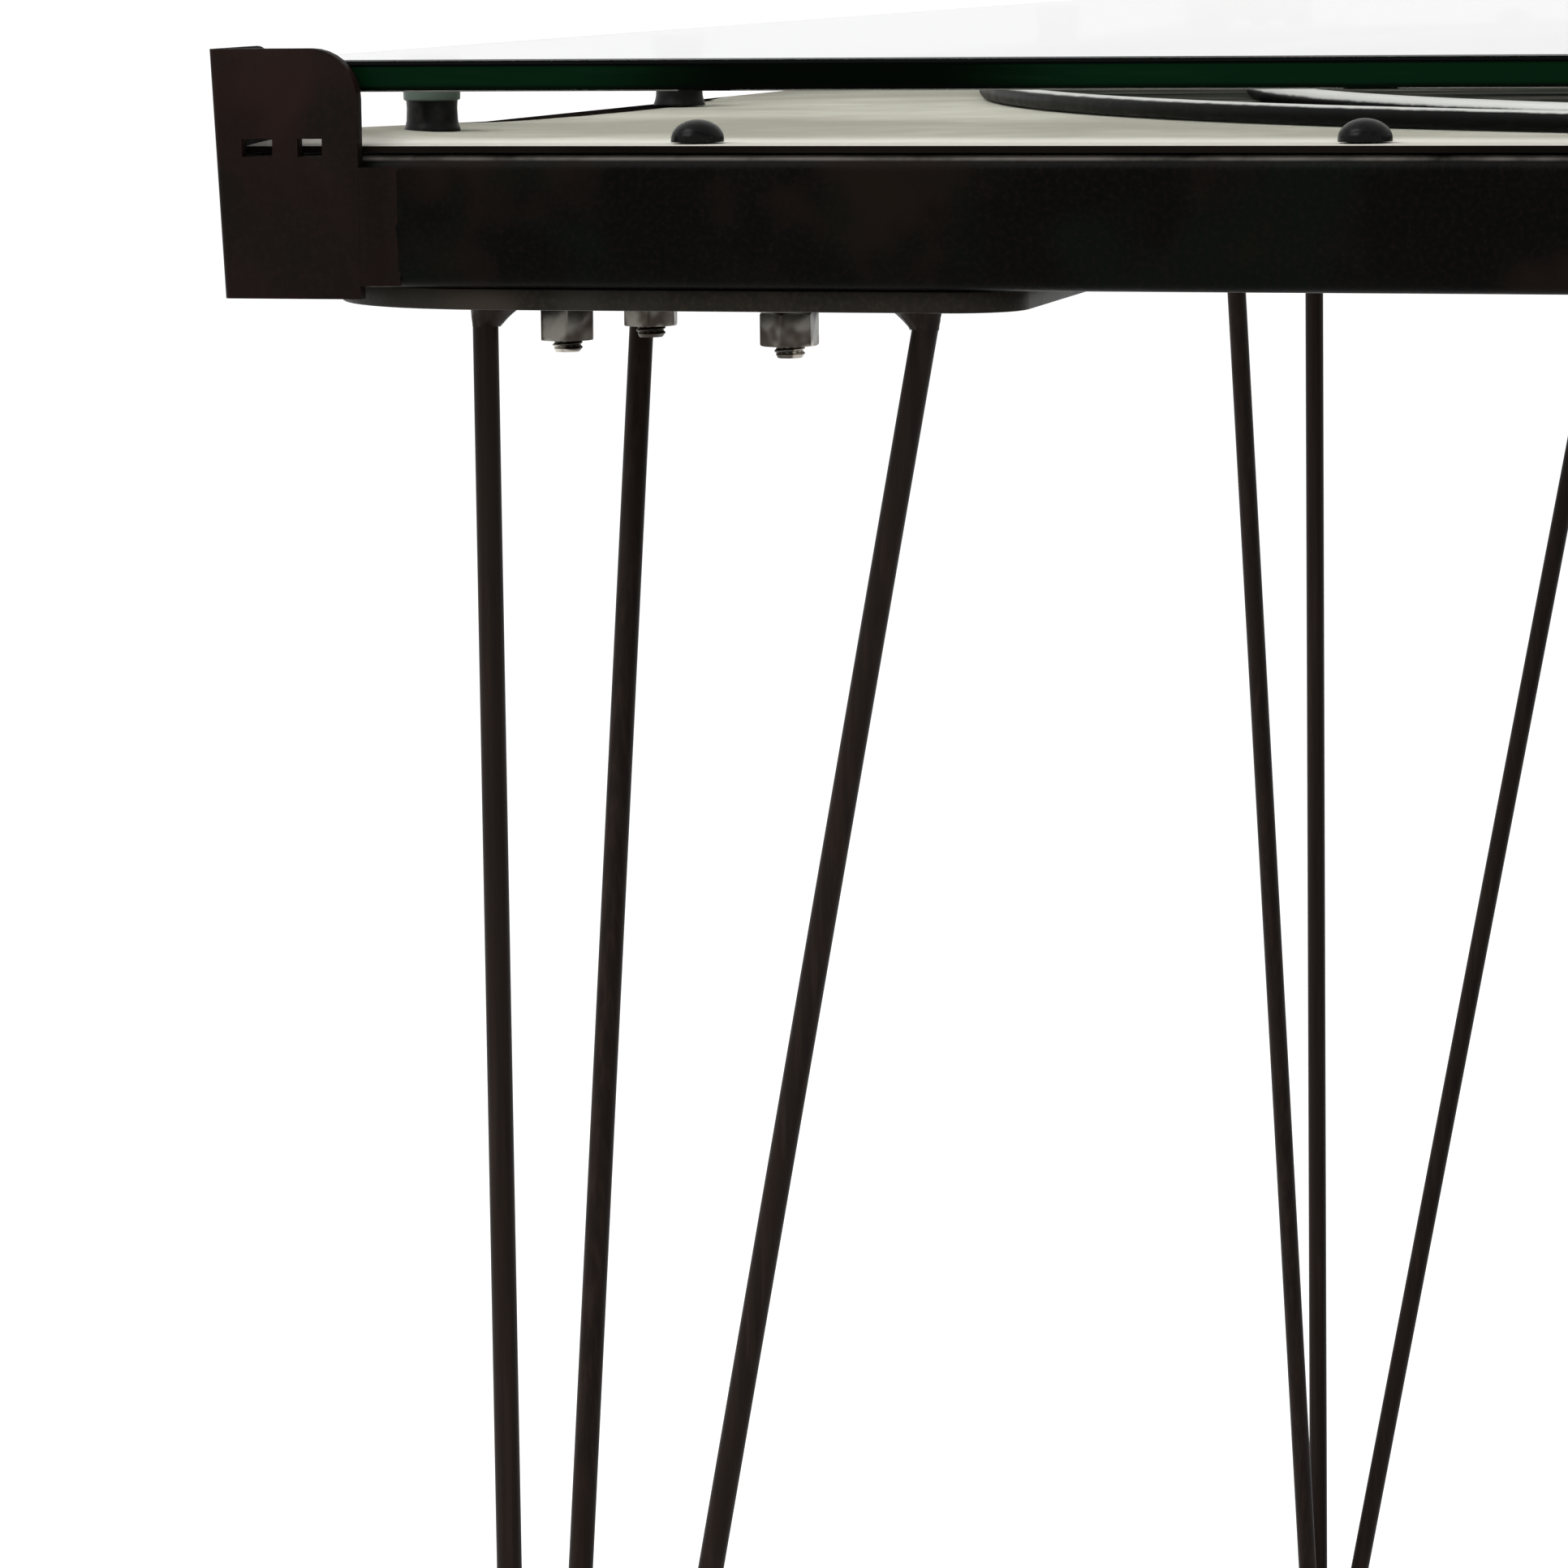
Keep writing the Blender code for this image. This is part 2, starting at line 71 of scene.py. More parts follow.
# %% Camera
FRAME_PIXELS = 1932
FOCAL_PIXELS = 8451
SENSOR = 36.0
EYE = Vector((0.1100, -1.5544, 0.4971))
YAW = 0.3298
PITCH = 0.1310
ROLL = -0.0136

ahead = Vector((-sin(YAW) * cos(PITCH), cos(YAW) * cos(PITCH), -sin(PITCH)))
level_right = Vector((cos(YAW), sin(YAW), 0))
level_up = level_right.cross(ahead)
right = level_right * cos(ROLL) + level_up * sin(ROLL)
up = level_up * cos(ROLL) - level_right * sin(ROLL)

bpy.ops.object.camera_add()
camera = bpy.context.object
camera.name = "photo_camera"
camera.matrix_world = Matrix.Translation(EYE) @ Matrix((right, up, -ahead)).transposed().to_4x4()
camera.data.sensor_width = SENSOR
camera.data.lens = FOCAL_PIXELS / FRAME_PIXELS * SENSOR
camera.data.clip_start = 0.01
camera.data.clip_end = 400
bpy.context.scene.camera = camera
print("lens:", round(camera.data.lens, 1), "mm")

# %% [markdown]
# Modelling by script follows the same moves as modelling by hand: add a primitive, go into edit
# mode, select by place, run an operator. These few helpers hold the selecting and the going in and
# out, so that each piece below reads as its list of moves. A point within NEAR of a face counts as
# lying on it, points within SAME of each other count as one, and a face looks along an axis when that
# part of its normal is more than SQUARE_ON.

# %% Hands: select
NEAR = 1e-5
SAME = 1e-6
SQUARE_ON = 0.9


def leave_edit():
    if bpy.context.object and bpy.context.object.mode == "EDIT":
        bpy.ops.object.mode_set(mode="OBJECT")


def clear_hands():
    """Leaves edit mode and lets go of everything, before a new primitive is added."""
    leave_edit()
    bpy.ops.object.select_all(action="DESELECT")


def hold_all():
    """Goes into edit mode with the whole mesh selected."""
    bpy.ops.object.mode_set(mode="EDIT")
    bpy.ops.mesh.select_all(action="SELECT")


def only(piece):
    """Makes this the one selected, active object."""
    clear_hands()
    piece.select_set(True)
    bpy.context.view_layer.objects.active = piece
    return piece


def settle(piece):
    """Moves an object's place, turn and size into its mesh."""
    only(piece)
    bpy.ops.object.transform_apply(location=True, rotation=True, scale=True)
    return piece


def block(name, low, high):
    """A box primitive between two corners, to be shaped further."""
    clear_hands()
    low = Vector(low)
    high = Vector(high)
    bpy.ops.mesh.primitive_cube_add(size=1, location=(low + high) / 2, scale=high - low)
    piece = settle(bpy.context.object)
    piece.name = name
    return piece


def pick(piece, kind, test):
    """In edit mode, selects the vertices, edges or faces whose middle or ends pass a test."""
    only(piece)
    bpy.ops.object.mode_set(mode="EDIT")
    bpy.ops.mesh.select_mode(type=kind)
    bpy.ops.mesh.select_all(action="DESELECT")
    net = bmesh.from_edit_mesh(piece.data)
    if kind == "FACE":
        chosen = [face for face in net.faces if test(face.calc_center_median(), face.normal)]
    elif kind == "EDGE":
        chosen = [edge for edge in net.edges if test(edge.verts[0].co, edge.verts[1].co)]
    else:
        chosen = [vert for vert in net.verts if test(vert.co)]
    for element in chosen:
        element.select_set(True)
    net.select_flush_mode()
    bmesh.update_edit_mesh(piece.data)
    return len(chosen)


# %% [markdown]
# The shaping moves come next: pressing points by a rule, applying a modifier, easing sharp edges,
# closing a mesh, shading it, and copying it.


# %% Hands: shape
def press(piece, rule):
    """Moves every vertex by what a rule gives for its place, as a hand does by soft selection."""
    only(piece)
    bpy.ops.object.mode_set(mode="EDIT")
    net = bmesh.from_edit_mesh(piece.data)
    for vert in net.verts:
        vert.co += rule(vert.co)
    bmesh.update_edit_mesh(piece.data)
    leave_edit()


def modify(piece, kind, **settings):
    """Adds a modifier, sets it, and applies it."""
    only(piece)
    modifier = piece.modifiers.new(kind.lower(), kind)
    for name, value in settings.items():
        setattr(modifier, name, value)
    bpy.ops.object.modifier_apply(modifier=modifier.name)


def ease(piece, width, segments, degrees):
    """Rounds every edge that is sharper than an angle."""
    limit = radians(degrees)
    modify(piece, "BEVEL", width=width, segments=segments, limit_method="ANGLE", angle_limit=limit)


def close_up(piece):
    """Merges doubled points and turns every face outwards."""
    only(piece)
    hold_all()
    bpy.ops.mesh.remove_doubles(threshold=SAME)
    bpy.ops.mesh.normals_make_consistent(inside=False)
    leave_edit()


def smooth(piece, degrees=35):
    only(piece)
    bpy.ops.object.shade_smooth_by_angle(angle=radians(degrees))


def twin(piece, name, shift=(0, 0, 0), flip=(1, 1)):
    """A copy with a mesh of its own, moved by a shift or mirrored across the table's middle."""
    copy = piece.copy()
    copy.data = piece.data.copy()
    copy.name = name
    bpy.context.scene.collection.objects.link(copy)
    copy.location = shift
    copy.scale = (flip[0], flip[1], 1)
    settle(copy)
    if flip[0] * flip[1] < 0:
        close_up(copy)
    return copy


# %% [markdown]
# A finished piece is hung on the table by one call, which names the solids that it stands for.

# %% Hands: fit
dressed = []


def nodes_of(kind):
    return sorted(node for node in solids if node.startswith(kind))


def middle_of(node):
    low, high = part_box(node)
    return (low + high) / 2


def fit(piece, finish, *stands_for):
    """Hangs a finished piece on the table, in the place of the solids that it stands for."""
    leave_edit()
    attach(piece, "root")
    if stands_for:
        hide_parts(*stands_for)
    dressed.append((piece, finish))


def fit_copies(first, name, finish, kind, height):
    """Fits a copy over each solid of one kind, at one height, and takes the first one away."""
    nodes = nodes_of(kind)
    for node in nodes:
        centre = middle_of(node)
        copy = twin(first, node.replace(kind, name), shift=(centre.x, centre.y, height))
        fit(copy, finish, node)
    print(name, "fitted:", len(nodes), "with", len(first.data.polygons), "faces each")
    bpy.data.objects.remove(first)


# %% [markdown]
# Front left is modelled, and the other three corners are its mirror images. Each copy carries the
# name of its own corner, and its place goes into its own mesh, so the finishes that read object
# coordinates run on across the table without a repeat.

# %% Corners
CORNERS = {
    "front_left": (1, 1),
    "front_right": (-1, 1),
    "rear_left": (1, -1),
    "rear_right": (-1, -1),
}


def fit_corners(first, name, finish, node=None):
    """Fits a front left piece and its three mirror images."""
    made = {corner: twin(first, f"{name}_{corner}", flip=flip) for corner, flip in CORNERS.items()}
    bpy.data.objects.remove(first)
    for corner, piece in made.items():
        stands_for = [f"{node}_{corner}"] if node else []
        fit(piece, finish, *stands_for)
    print(name, "at", len(made), "corners,", len(piece.data.polygons), "faces each")


# %% [markdown]
# The frame is welded from square tube. A tube could be drawn as a profile and swept, but a box does
# it in four moves: round the four long edges, open both ends, and give the skin its wall inwards.
# The front and rear tubes are drilled where the panel's screws go in.

# %% Rails of square tube
TUBE_BEND = 0.0033
TUBE_WALL = 0.002
TUBE_BEND_STEPS = 8
LONG_EDGE = 0.1
SCREW_HOLE_RADIUS = 0.0024
SCREW_DRILL_LENGTH = 0.02
DRILL_SIDES = 24


def drill(name, places, radius, length):
    """Upright cylinders at these places, joined in one cutter."""
    clear_hands()
    pins = []
    for spot in places:
        bpy.ops.mesh.primitive_cylinder_add(
            vertices=DRILL_SIDES, radius=radius, depth=length, location=spot
        )
        pins.append(bpy.context.object)
    for pin in pins:
        pin.select_set(True)
    bpy.ops.object.join()
    cutter = settle(bpy.context.object)
    cutter.name = name
    return cutter


def bore(piece, cutter):
    modify(piece, "BOOLEAN", operation="DIFFERENCE", solver="EXACT", object=cutter)


screw_spots = [middle_of(node) for node in nodes_of("dome_screw")]
screw_drill = drill("screw_drill", screw_spots, SCREW_HOLE_RADIUS, SCREW_DRILL_LENGTH)

for node, axis in (("front_rail", 0), ("rear_rail", 0), ("left_rail", 1), ("right_rail", 1)):
    rail = block(f"{node}_tube", *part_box(node))
    pick(rail, "EDGE", lambda a, b: abs(a[axis] - b[axis]) > LONG_EDGE)
    bpy.ops.mesh.bevel(offset=TUBE_BEND, segments=TUBE_BEND_STEPS, affect="EDGES")
    pick(rail, "FACE", lambda centre, normal: abs(normal[axis]) > SQUARE_ON)
    bpy.ops.mesh.delete(type="FACE")
    leave_edit()
    modify(rail, "SOLIDIFY", thickness=TUBE_WALL, offset=-1)
    if axis == 0:
        bore(rail, screw_drill)
    smooth(rail)
    fit(rail, "patina_steel", node)
    print(node, "tube,", len(rail.data.polygons), "faces")

# %% [markdown]
# A thin sheet lies on the rails and closes the frame from above. It is held along the front and the
# rear only, so its free side edges have curled up a little behind the corners. A grid gives the sheet
# enough points to bend, the curl is pressed into it, and then it gets its thickness and its screw
# holes.

# %% Panel
GRID_ALONG = 110
GRID_ACROSS = 96
CURL_LIFT = 0.0026
CURL_WIDTH = 0.030
CURL_START = 0.040
CURL_LENGTH = 0.125

panel_low, panel_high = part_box("base_panel")
panel_top = panel_high.z
clear_hands()
bpy.ops.mesh.primitive_grid_add(
    x_subdivisions=GRID_ALONG, y_subdivisions=GRID_ACROSS, size=1, location=(0, 0, panel_top)
)
sheet = bpy.context.object
sheet.name = "panel_sheet"
sheet.scale = (panel_high.x - panel_low.x, panel_high.y - panel_low.y, 1)
settle(sheet)


def curl(point):
    """Lift of the side edges: from nothing at a corner to its most, and slowly back to nothing."""
    near_side = max(0.0, 1 - (panel_high.x - abs(point.x)) / CURL_WIDTH)
    from_corner = panel_high.y - abs(point.y)
    rising = min(1.0, from_corner / CURL_START)
    falling = max(0.0, 1 - from_corner / CURL_LENGTH)
    return Vector((0, 0, CURL_LIFT * near_side * near_side * rising * falling))


press(sheet, curl)
modify(sheet, "SOLIDIFY", thickness=panel_high.z - panel_low.z, offset=-1)
bore(sheet, screw_drill)
smooth(sheet)
fit(sheet, "pale_panel", "base_panel")
print("panel sheet,", len(sheet.data.polygons), "faces")

# %% [markdown]
# A folded angle stands round each corner, from under the rail to just above the glass, and keeps the
# glass from sliding. It starts as a box with four of its six sides taken away, so that two flanges
# remain. The flange on the side rail leans out a little at its top. The fold and the free top
# corners are rounded, two slots are cut where the panel's edge shows, and the sheet gets its
# thickness last.

# %% Corner angles
POST_THICK = 0.0025
POST_BEND = 0.0016
POST_ROUND = 0.0095
POST_LEAN = 0.0022
POST_EDGE = 0.0003
SLOT_HEIGHT = 0.0034
SLOT_DROP = 0.0002
SLOTS = ((0.0045, 0.0107), (0.0158, 0.0208))

low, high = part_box("corner_post_front_left")
low.x += POST_LEAN
angle = block("corner_angle", low, high)
pick(angle, "FACE", lambda centre, n: max(n.x, n.y, abs(n.z)) > SQUARE_ON)
bpy.ops.mesh.delete(type="FACE")
pick(angle, "VERT", lambda p: p.z > high.z - NEAR and p.x < low.x + NEAR)
bpy.ops.transform.translate(value=(-POST_LEAN, 0, 0))
pick(angle, "EDGE", lambda a, b: all(p.x < low.x + NEAR and p.y < low.y + NEAR for p in (a, b)))
bpy.ops.mesh.bevel(offset=POST_BEND, segments=5, affect="EDGES")
pick(
    angle,
    "VERT",
    lambda p: p.z > high.z - NEAR and (p.x > high.x - NEAR or p.y > high.y - NEAR),
)
bpy.ops.mesh.bevel(offset=POST_ROUND, segments=9, affect="VERTICES")
slot_bottom = panel_top - SLOT_DROP - SLOT_HEIGHT / 2
slot_top = slot_bottom + SLOT_HEIGHT
cuts = [((0, 0, slot_bottom), (0, 0, 1)), ((0, 0, slot_top), (0, 0, 1))]
for start, end in SLOTS:
    cuts.append(((low.x + start, 0, 0), (1, 0, 0)))
    cuts.append(((low.x + end, 0, 0), (1, 0, 0)))
for point, across_cut in cuts:
    bpy.ops.mesh.select_all(action="SELECT")
    bpy.ops.mesh.bisect(plane_co=point, plane_no=across_cut)


def in_slot(centre, normal):
    beside = any(start < centre.x - low.x < end for start, end in SLOTS)
    return normal.y < -SQUARE_ON and beside and slot_bottom < centre.z < slot_top


print("slot faces cut out:", pick(angle, "FACE", in_slot))
bpy.ops.mesh.delete(type="FACE")
bpy.ops.mesh.select_all(action="SELECT")
bpy.ops.mesh.dissolve_limited(angle_limit=radians(1))
leave_edit()
modify(angle, "SOLIDIFY", thickness=POST_THICK, offset=-1, use_even_offset=True)
ease(angle, POST_EDGE, 2, 40)
smooth(angle)
fit_corners(angle, "corner_angle", "corner_steel", "corner_post")

# %% [markdown]
# The angle's free edges are welded to the rails and ground down, so no step shows on the frame's
# faces. A block along each edge is cut into strips, and strip after strip is pressed back along an
# S-shaped curve, from flush with the angle to flush with the rail. A small random shift leaves it
# as uneven as a ground weld is.

# %% Ground welds beside the angles
WELD_WIDTH = 0.0070
WELD_LAP = 0.0008
WELD_PROUD = 0.00005
WELD_ROOT = 0.0004
WELD_STRIPS = 10
WELD_FOOT = 0.0004
WELD_TOP_SHARE = 0.7
WELD_UNEVEN = 0.00006

rail_low, rail_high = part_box("front_rail")
weld_bottom = rail_low.z + WELD_FOOT
weld_top = rail_high.z - TUBE_BEND * WELD_TOP_SHARE
post_low, post_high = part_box("corner_post_front_left")
post_low.x += POST_LEAN
post_height = post_high.z - post_low.z


def ground_weld(name, axis, lean):
    """Metal from the angle's edge to the rail's face; axis 0 lies on the front, 1 on the side."""
    across = 1 - axis
    start = Vector((0, 0, weld_bottom))
    end = Vector((0, 0, weld_top))
    start[axis] = post_high[axis] - WELD_LAP
    end[axis] = post_high[axis] + WELD_WIDTH
    start[across] = post_low[across] - WELD_PROUD
    end[across] = rail_low[across] + WELD_ROOT
    weld = block(name, start, end)
    hold_all()
    bpy.ops.mesh.subdivide(number_cuts=WELD_STRIPS - 1)
    leave_edit()

    def towards_rail(point):
        share = (point[axis] - start[axis]) / (end[axis] - start[axis])
        curve = share * share * (3 - 2 * share)
        outness = (end[across] - point[across]) / (end[across] - start[across])
        leaning = lean * (point.z - post_low.z) / post_height
        move = Vector((0, 0, 0))
        back = rail_low[across] - start[across] + WELD_PROUD
        move[across] = outness * (curve * back - (1 - curve) * leaning)
        return move

    press(weld, towards_rail)
    pick(weld, "VERT", lambda p: p[across] < rail_low[across] - NEAR)
    bpy.ops.transform.vertex_random(offset=WELD_UNEVEN, uniform=0.0, normal=1.0, seed=4)
    close_up(weld)
    smooth(weld, 60)
    return weld


fit_corners(ground_weld("front_weld", 0, 0), "ground_weld_along", "corner_steel")
fit_corners(ground_weld("side_weld", 1, POST_LEAN), "ground_weld_across", "corner_steel")

# %% [markdown]
# Each leg hangs on a plate under the frame's corner. The plate is a square sheet whose inner corner
# is cut off at a slant. Its outer corner has a wide round, and its tips have small ones. It is drawn
# flat, cut and rounded as a flat shape, and only then thickened.

# %% Leg plates
PLATE_END_REACH = 0.1455
PLATE_END_DEPTH = 0.075
PLATE_CORNER_ROUND = 0.043
PLATE_TIP_ROUND = 0.0136
PLATE_INNER_ROUND = 0.0034
PLATE_INNER_FROM = 0.21
PLATE_EDGE = 0.0004
BOLT_HOLE_RADIUS = 0.0034
BOLT_DRILL_LENGTH = 0.06

frame_corner = Vector((rail_low.x, rail_low.y, 0))
low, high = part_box("leg_plate_front_left")
plate_bottom = low.z
plate_thick = high.z - low.z
clear_hands()
plate_middle = ((low.x + high.x) / 2, (low.y + high.y) / 2, low.z)
bpy.ops.mesh.primitive_plane_add(size=1, location=plate_middle)
plate = bpy.context.object
plate.scale = (high.x - low.x, high.y - low.y, 1)
settle(plate)
plate_reach = high.x - frame_corner.x
pick(plate, "VERT", lambda p: p.x > high.x - NEAR and p.y > high.y - NEAR)
bpy.ops.mesh.bevel(offset=plate_reach - PLATE_END_DEPTH, segments=1, affect="VERTICES")
back = PLATE_END_REACH - plate_reach
pick(plate, "VERT", lambda p: p.x > high.x - NEAR and p.y > frame_corner.y + PLATE_END_DEPTH / 2)
bpy.ops.transform.translate(value=(back, 0, 0))
pick(plate, "VERT", lambda p: p.y > high.y - NEAR and p.x > frame_corner.x + PLATE_END_DEPTH / 2)
bpy.ops.transform.translate(value=(0, back, 0))
inner_sum = frame_corner.x + frame_corner.y + PLATE_INNER_FROM
plate_rounds = (
    (lambda p: p.x < low.x + NEAR and p.y < low.y + NEAR, PLATE_CORNER_ROUND, 14),
    (lambda p: p.x > high.x - NEAR or p.y > high.y - NEAR, PLATE_TIP_ROUND, 8),
    (lambda p: p.x + p.y > inner_sum, PLATE_INNER_ROUND, 6),
)
for test, radius, steps in plate_rounds:
    print("plate corners rounded:", pick(plate, "VERT", test))
    bpy.ops.mesh.bevel(offset=radius, segments=steps, affect="VERTICES")
bpy.ops.mesh.select_all(action="SELECT")
bpy.ops.mesh.extrude_region_move(TRANSFORM_OT_translate={"value": (0, 0, plate_thick)})
close_up(plate)
bolt_spots = [middle_of(node) for node in nodes_of("leg_bolt_front_left")]
bolt_drill = drill("bolt_drill", bolt_spots, BOLT_HOLE_RADIUS, BOLT_DRILL_LENGTH)
bore(plate, bolt_drill)
ease(plate, PLATE_EDGE, 2, 50)
smooth(plate)
fit_corners(plate, "leg_plate_sheet", "plate_steel", "leg_plate")

# %% [markdown]
# A hairpin is one length of round bar: straight down, round a tight bend at the floor, and slanting
# up again. A disc is extruded down to the start of the bend, spun round the bend's middle, and
# extruded on to the plate, just as the bar is drawn and bent. The slanted part leaves the bend as a
# tangent, and its angle comes from the same few sizes as the solid's.

# %% Hairpin rods
ROD_RADIUS = 0.0025
ROD_IN = 0.0354
ROD_OUT = 0.1253
HAIRPIN_BEND = 0.0055
JOINT_GAP = 0.0003
ROD_SIDES = 24
ROD_STEPS = 6
BEND_STEPS = 16
TILT_TRIES = 12

upright_top = plate_bottom - JOINT_GAP
tilt = 0.0
for _ in range(TILT_TRIES):
    run = ROD_OUT - (ROD_IN + HAIRPIN_BEND * (1 + cos(tilt)))
    rise = upright_top - (ROD_RADIUS + HAIRPIN_BEND * (1 - sin(tilt)))
    tilt = atan2(run, rise)
bend_height = ROD_RADIUS + HAIRPIN_BEND
slant_length = (run * run + rise * rise) ** 0.5 - 2 * ROD_RADIUS * sin(tilt)


def disc(name, sides, radius, spot=(0, 0, 0), rotation=(0, 0, 0)):
    """A filled disc, in edit mode and selected, ready to be drawn on."""
    clear_hands()
    bpy.ops.mesh.primitive_circle_add(
        vertices=sides, radius=radius, fill_type="NGON", location=spot, rotation=rotation
    )
    piece = settle(bpy.context.object)
    piece.name = name
    hold_all()
    return piece


def draw_on(move, steps=1, share=1):
    """Extrudes the selected end on along a move, in equal steps, and sizes it by a share."""
    for _ in range(steps):
        bpy.ops.mesh.extrude_region_move(TRANSFORM_OT_translate={"value": Vector(move) / steps})
    if share != 1:
        bpy.ops.transform.resize(value=(share, share, 1))


def bend_on(steps, angle, centre, axis):
    """Spins the selected end on round a centre."""
    bpy.ops.mesh.spin(steps=steps, angle=angle, center=centre, axis=axis, use_auto_merge=False)


foot = frame_corner + Vector((ROD_IN, ROD_IN, 0))
bend_centre = foot + Vector((HAIRPIN_BEND, 0, bend_height))
hairpin = disc("hairpin", ROD_SIDES, ROD_RADIUS, foot + Vector((0, 0, upright_top)))
draw_on((0, 0, bend_height - upright_top), steps=ROD_STEPS)
bend_on(BEND_STEPS, pi - tilt, bend_centre, (0, 1, 0))
draw_on(Vector((sin(tilt), 0, cos(tilt))) * slant_length, steps=ROD_STEPS)
close_up(hairpin)
smooth(hairpin, 60)
print("hairpin box:", [round(v, 4) for v in hairpin.dimensions], "tilt:", round(tilt, 4))
fit_corners(hairpin, "hairpin_bar", "dark_rods", "hairpin_rod")

# %% [markdown]
# The third rod braces the leg the other way. It comes up from the heel of the hairpin's bend, turns
# through the same bend, and slants back to the plate, so it is drawn from its foot upwards.

# %% Brace rods
heel = foot + Vector((0, ROD_RADIUS + JOINT_GAP, ROD_RADIUS))
brace_centre = foot + Vector((0, HAIRPIN_BEND, bend_height))
brace = disc("brace", ROD_SIDES, ROD_RADIUS, heel, rotation=(pi / 2, 0, 0))
draw_on((0, HAIRPIN_BEND - ROD_RADIUS - JOINT_GAP, 0))
bend_on(BEND_STEPS // 2, pi / 2 - tilt, brace_centre, (-1, 0, 0))
draw_on(Vector((0, sin(tilt), cos(tilt))) * slant_length, steps=ROD_STEPS)
close_up(brace)
smooth(brace, 60)
print("brace box:", [round(v, 4) for v in brace.dimensions])
fit_corners(brace, "brace_bar", "dark_rods", "brace_rod")

# %% [markdown]
# The panel is held by dome-head screws. A dome is half a ball that is a little flattened, with a
# thin rim at its foot, so a ball primitive is cut through the middle, pressed down, and given a
# rim and a shank by two extrusions.

# %% Dome screws
DOME_RADIUS = 0.0050
DOME_HEIGHT = 0.0042
DOME_RIM = 0.0005
SCREW_RADIUS = 0.0018
SCREW_LENGTH = 0.009
SCREW_TIP_SHARE = 0.5

clear_hands()
bpy.ops.mesh.primitive_uv_sphere_add(segments=32, ring_count=24, radius=DOME_RADIUS)
dome = bpy.context.object
dome.name = "dome"
hold_all()
bpy.ops.mesh.bisect(plane_co=(0, 0, SAME), plane_no=(0, 0, 1), use_fill=True, clear_inner=True)
leave_edit()
dome.scale = (1, 1, (DOME_HEIGHT - DOME_RIM) / DOME_RADIUS)
dome.location = (0, 0, DOME_RIM)
settle(dome)
pick(dome, "FACE", lambda centre, normal: normal.z < -SQUARE_ON)
draw_on((0, 0, -DOME_RIM))
bpy.ops.mesh.inset(thickness=DOME_RADIUS - SCREW_RADIUS)
draw_on((0, 0, SCREW_RADIUS - SCREW_LENGTH))
draw_on((0, 0, -SCREW_RADIUS), share=SCREW_TIP_SHARE)
close_up(dome)
smooth(dome, 50)
fit_copies(dome, "panel_dome", "black_screws", "dome_screw", panel_top + JOINT_GAP)

# %% [markdown]
# The glass rests on rubber buttons. A button is turned: a flared foot, a straight body, and a flat
# head that is a little wider. A disc that is extruded upwards and resized at each level gives that
# profile, and the rounded edges are left to a bevel.

# %% Glass bumpers
BUMPER_SIDES = 40
BUMPER_EDGE = 0.0002
BUMPER_LEVELS = (
    (0.0000, 0.0056),
    (0.0005, 0.0056),
    (0.0012, 0.0053),
    (0.0022, 0.0051),
    (0.0046, 0.0050),
    (0.0061, 0.0051),
    (0.0062, 0.0056),
    (0.0090, 0.0057),
    (0.0095, 0.0056),
)

button = disc("button", BUMPER_SIDES, BUMPER_LEVELS[0][1])
for (level, radius), (next_level, next_radius) in zip(BUMPER_LEVELS, BUMPER_LEVELS[1:]):
    draw_on((0, 0, next_level - level), share=next_radius / radius)
close_up(button)
ease(button, BUMPER_EDGE, 3, 50)
smooth(button, 50)
bumper_low, bumper_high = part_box(nodes_of("glass_bumper")[0])
fit_copies(button, "glass_button", "black_rubber", "glass_bumper", bumper_low.z)

# %% [markdown]
# Two oval hoops of rounded bar lie on the panel under the glass. Each starts as a filled disc that is
# stretched to its oval. An inset of the bar's width gives a ring of even width all round, which a
# scaled copy would not, and the ring is then raised and its edges rounded well over.

# %% Iron hoops
HOOP_BAR_WIDTH = 0.005
HOOP_EASE = 0.0017
HOOP_SIDES = 240

for node in ("outer_hoop", "inner_hoop"):
    low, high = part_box(node)
    hoop = disc(f"{node}_bar", HOOP_SIDES, 1, (0, 0, low.z))
    leave_edit()
    hoop.scale = (high.x, high.y, 1)
    settle(hoop)
    hold_all()
    bpy.ops.mesh.inset(thickness=HOOP_BAR_WIDTH)
    bpy.ops.mesh.delete(type="FACE")
    bpy.ops.mesh.select_all(action="SELECT")
    draw_on((0, 0, high.z - low.z))
    close_up(hoop)
    ease(hoop, HOOP_EASE, 5, 60)
    smooth(hoop)
    fit(hoop, "worn_iron", node)
    print(node, "bar,", len(hoop.data.polygons), "faces")

# %% [markdown]
# Each leg bolt is drawn up by a washer and a hexagon nut under the plate. The nut's corners are
# turned off on both faces. By hand that is a hexagon met by a round blank with bevelled rims, so
# the nut is the part that both have in common.

# %% Nuts and washers
NUT_ACROSS_FLATS = 0.010
NUT_HEIGHT = 0.0064
WASHER_THICK = 0.0016
WASHER_RADIUS = 0.0062
WASHER_RIM = 0.0003
NUT_RIM = 0.0007
NUT_EDGE = 0.00015
NUT_TURNS = (0.33, 0.95, -0.19)
NUT_BORE_RADIUS = 0.00305
NUT_BORE_LENGTH = 0.02
BLANK_SIDES = 48
BLANK_SPARE = 0.0001
CLEARANCE = 0.0001

washer_top = plate_bottom - CLEARANCE
nut_top = washer_top - WASHER_THICK - CLEARANCE


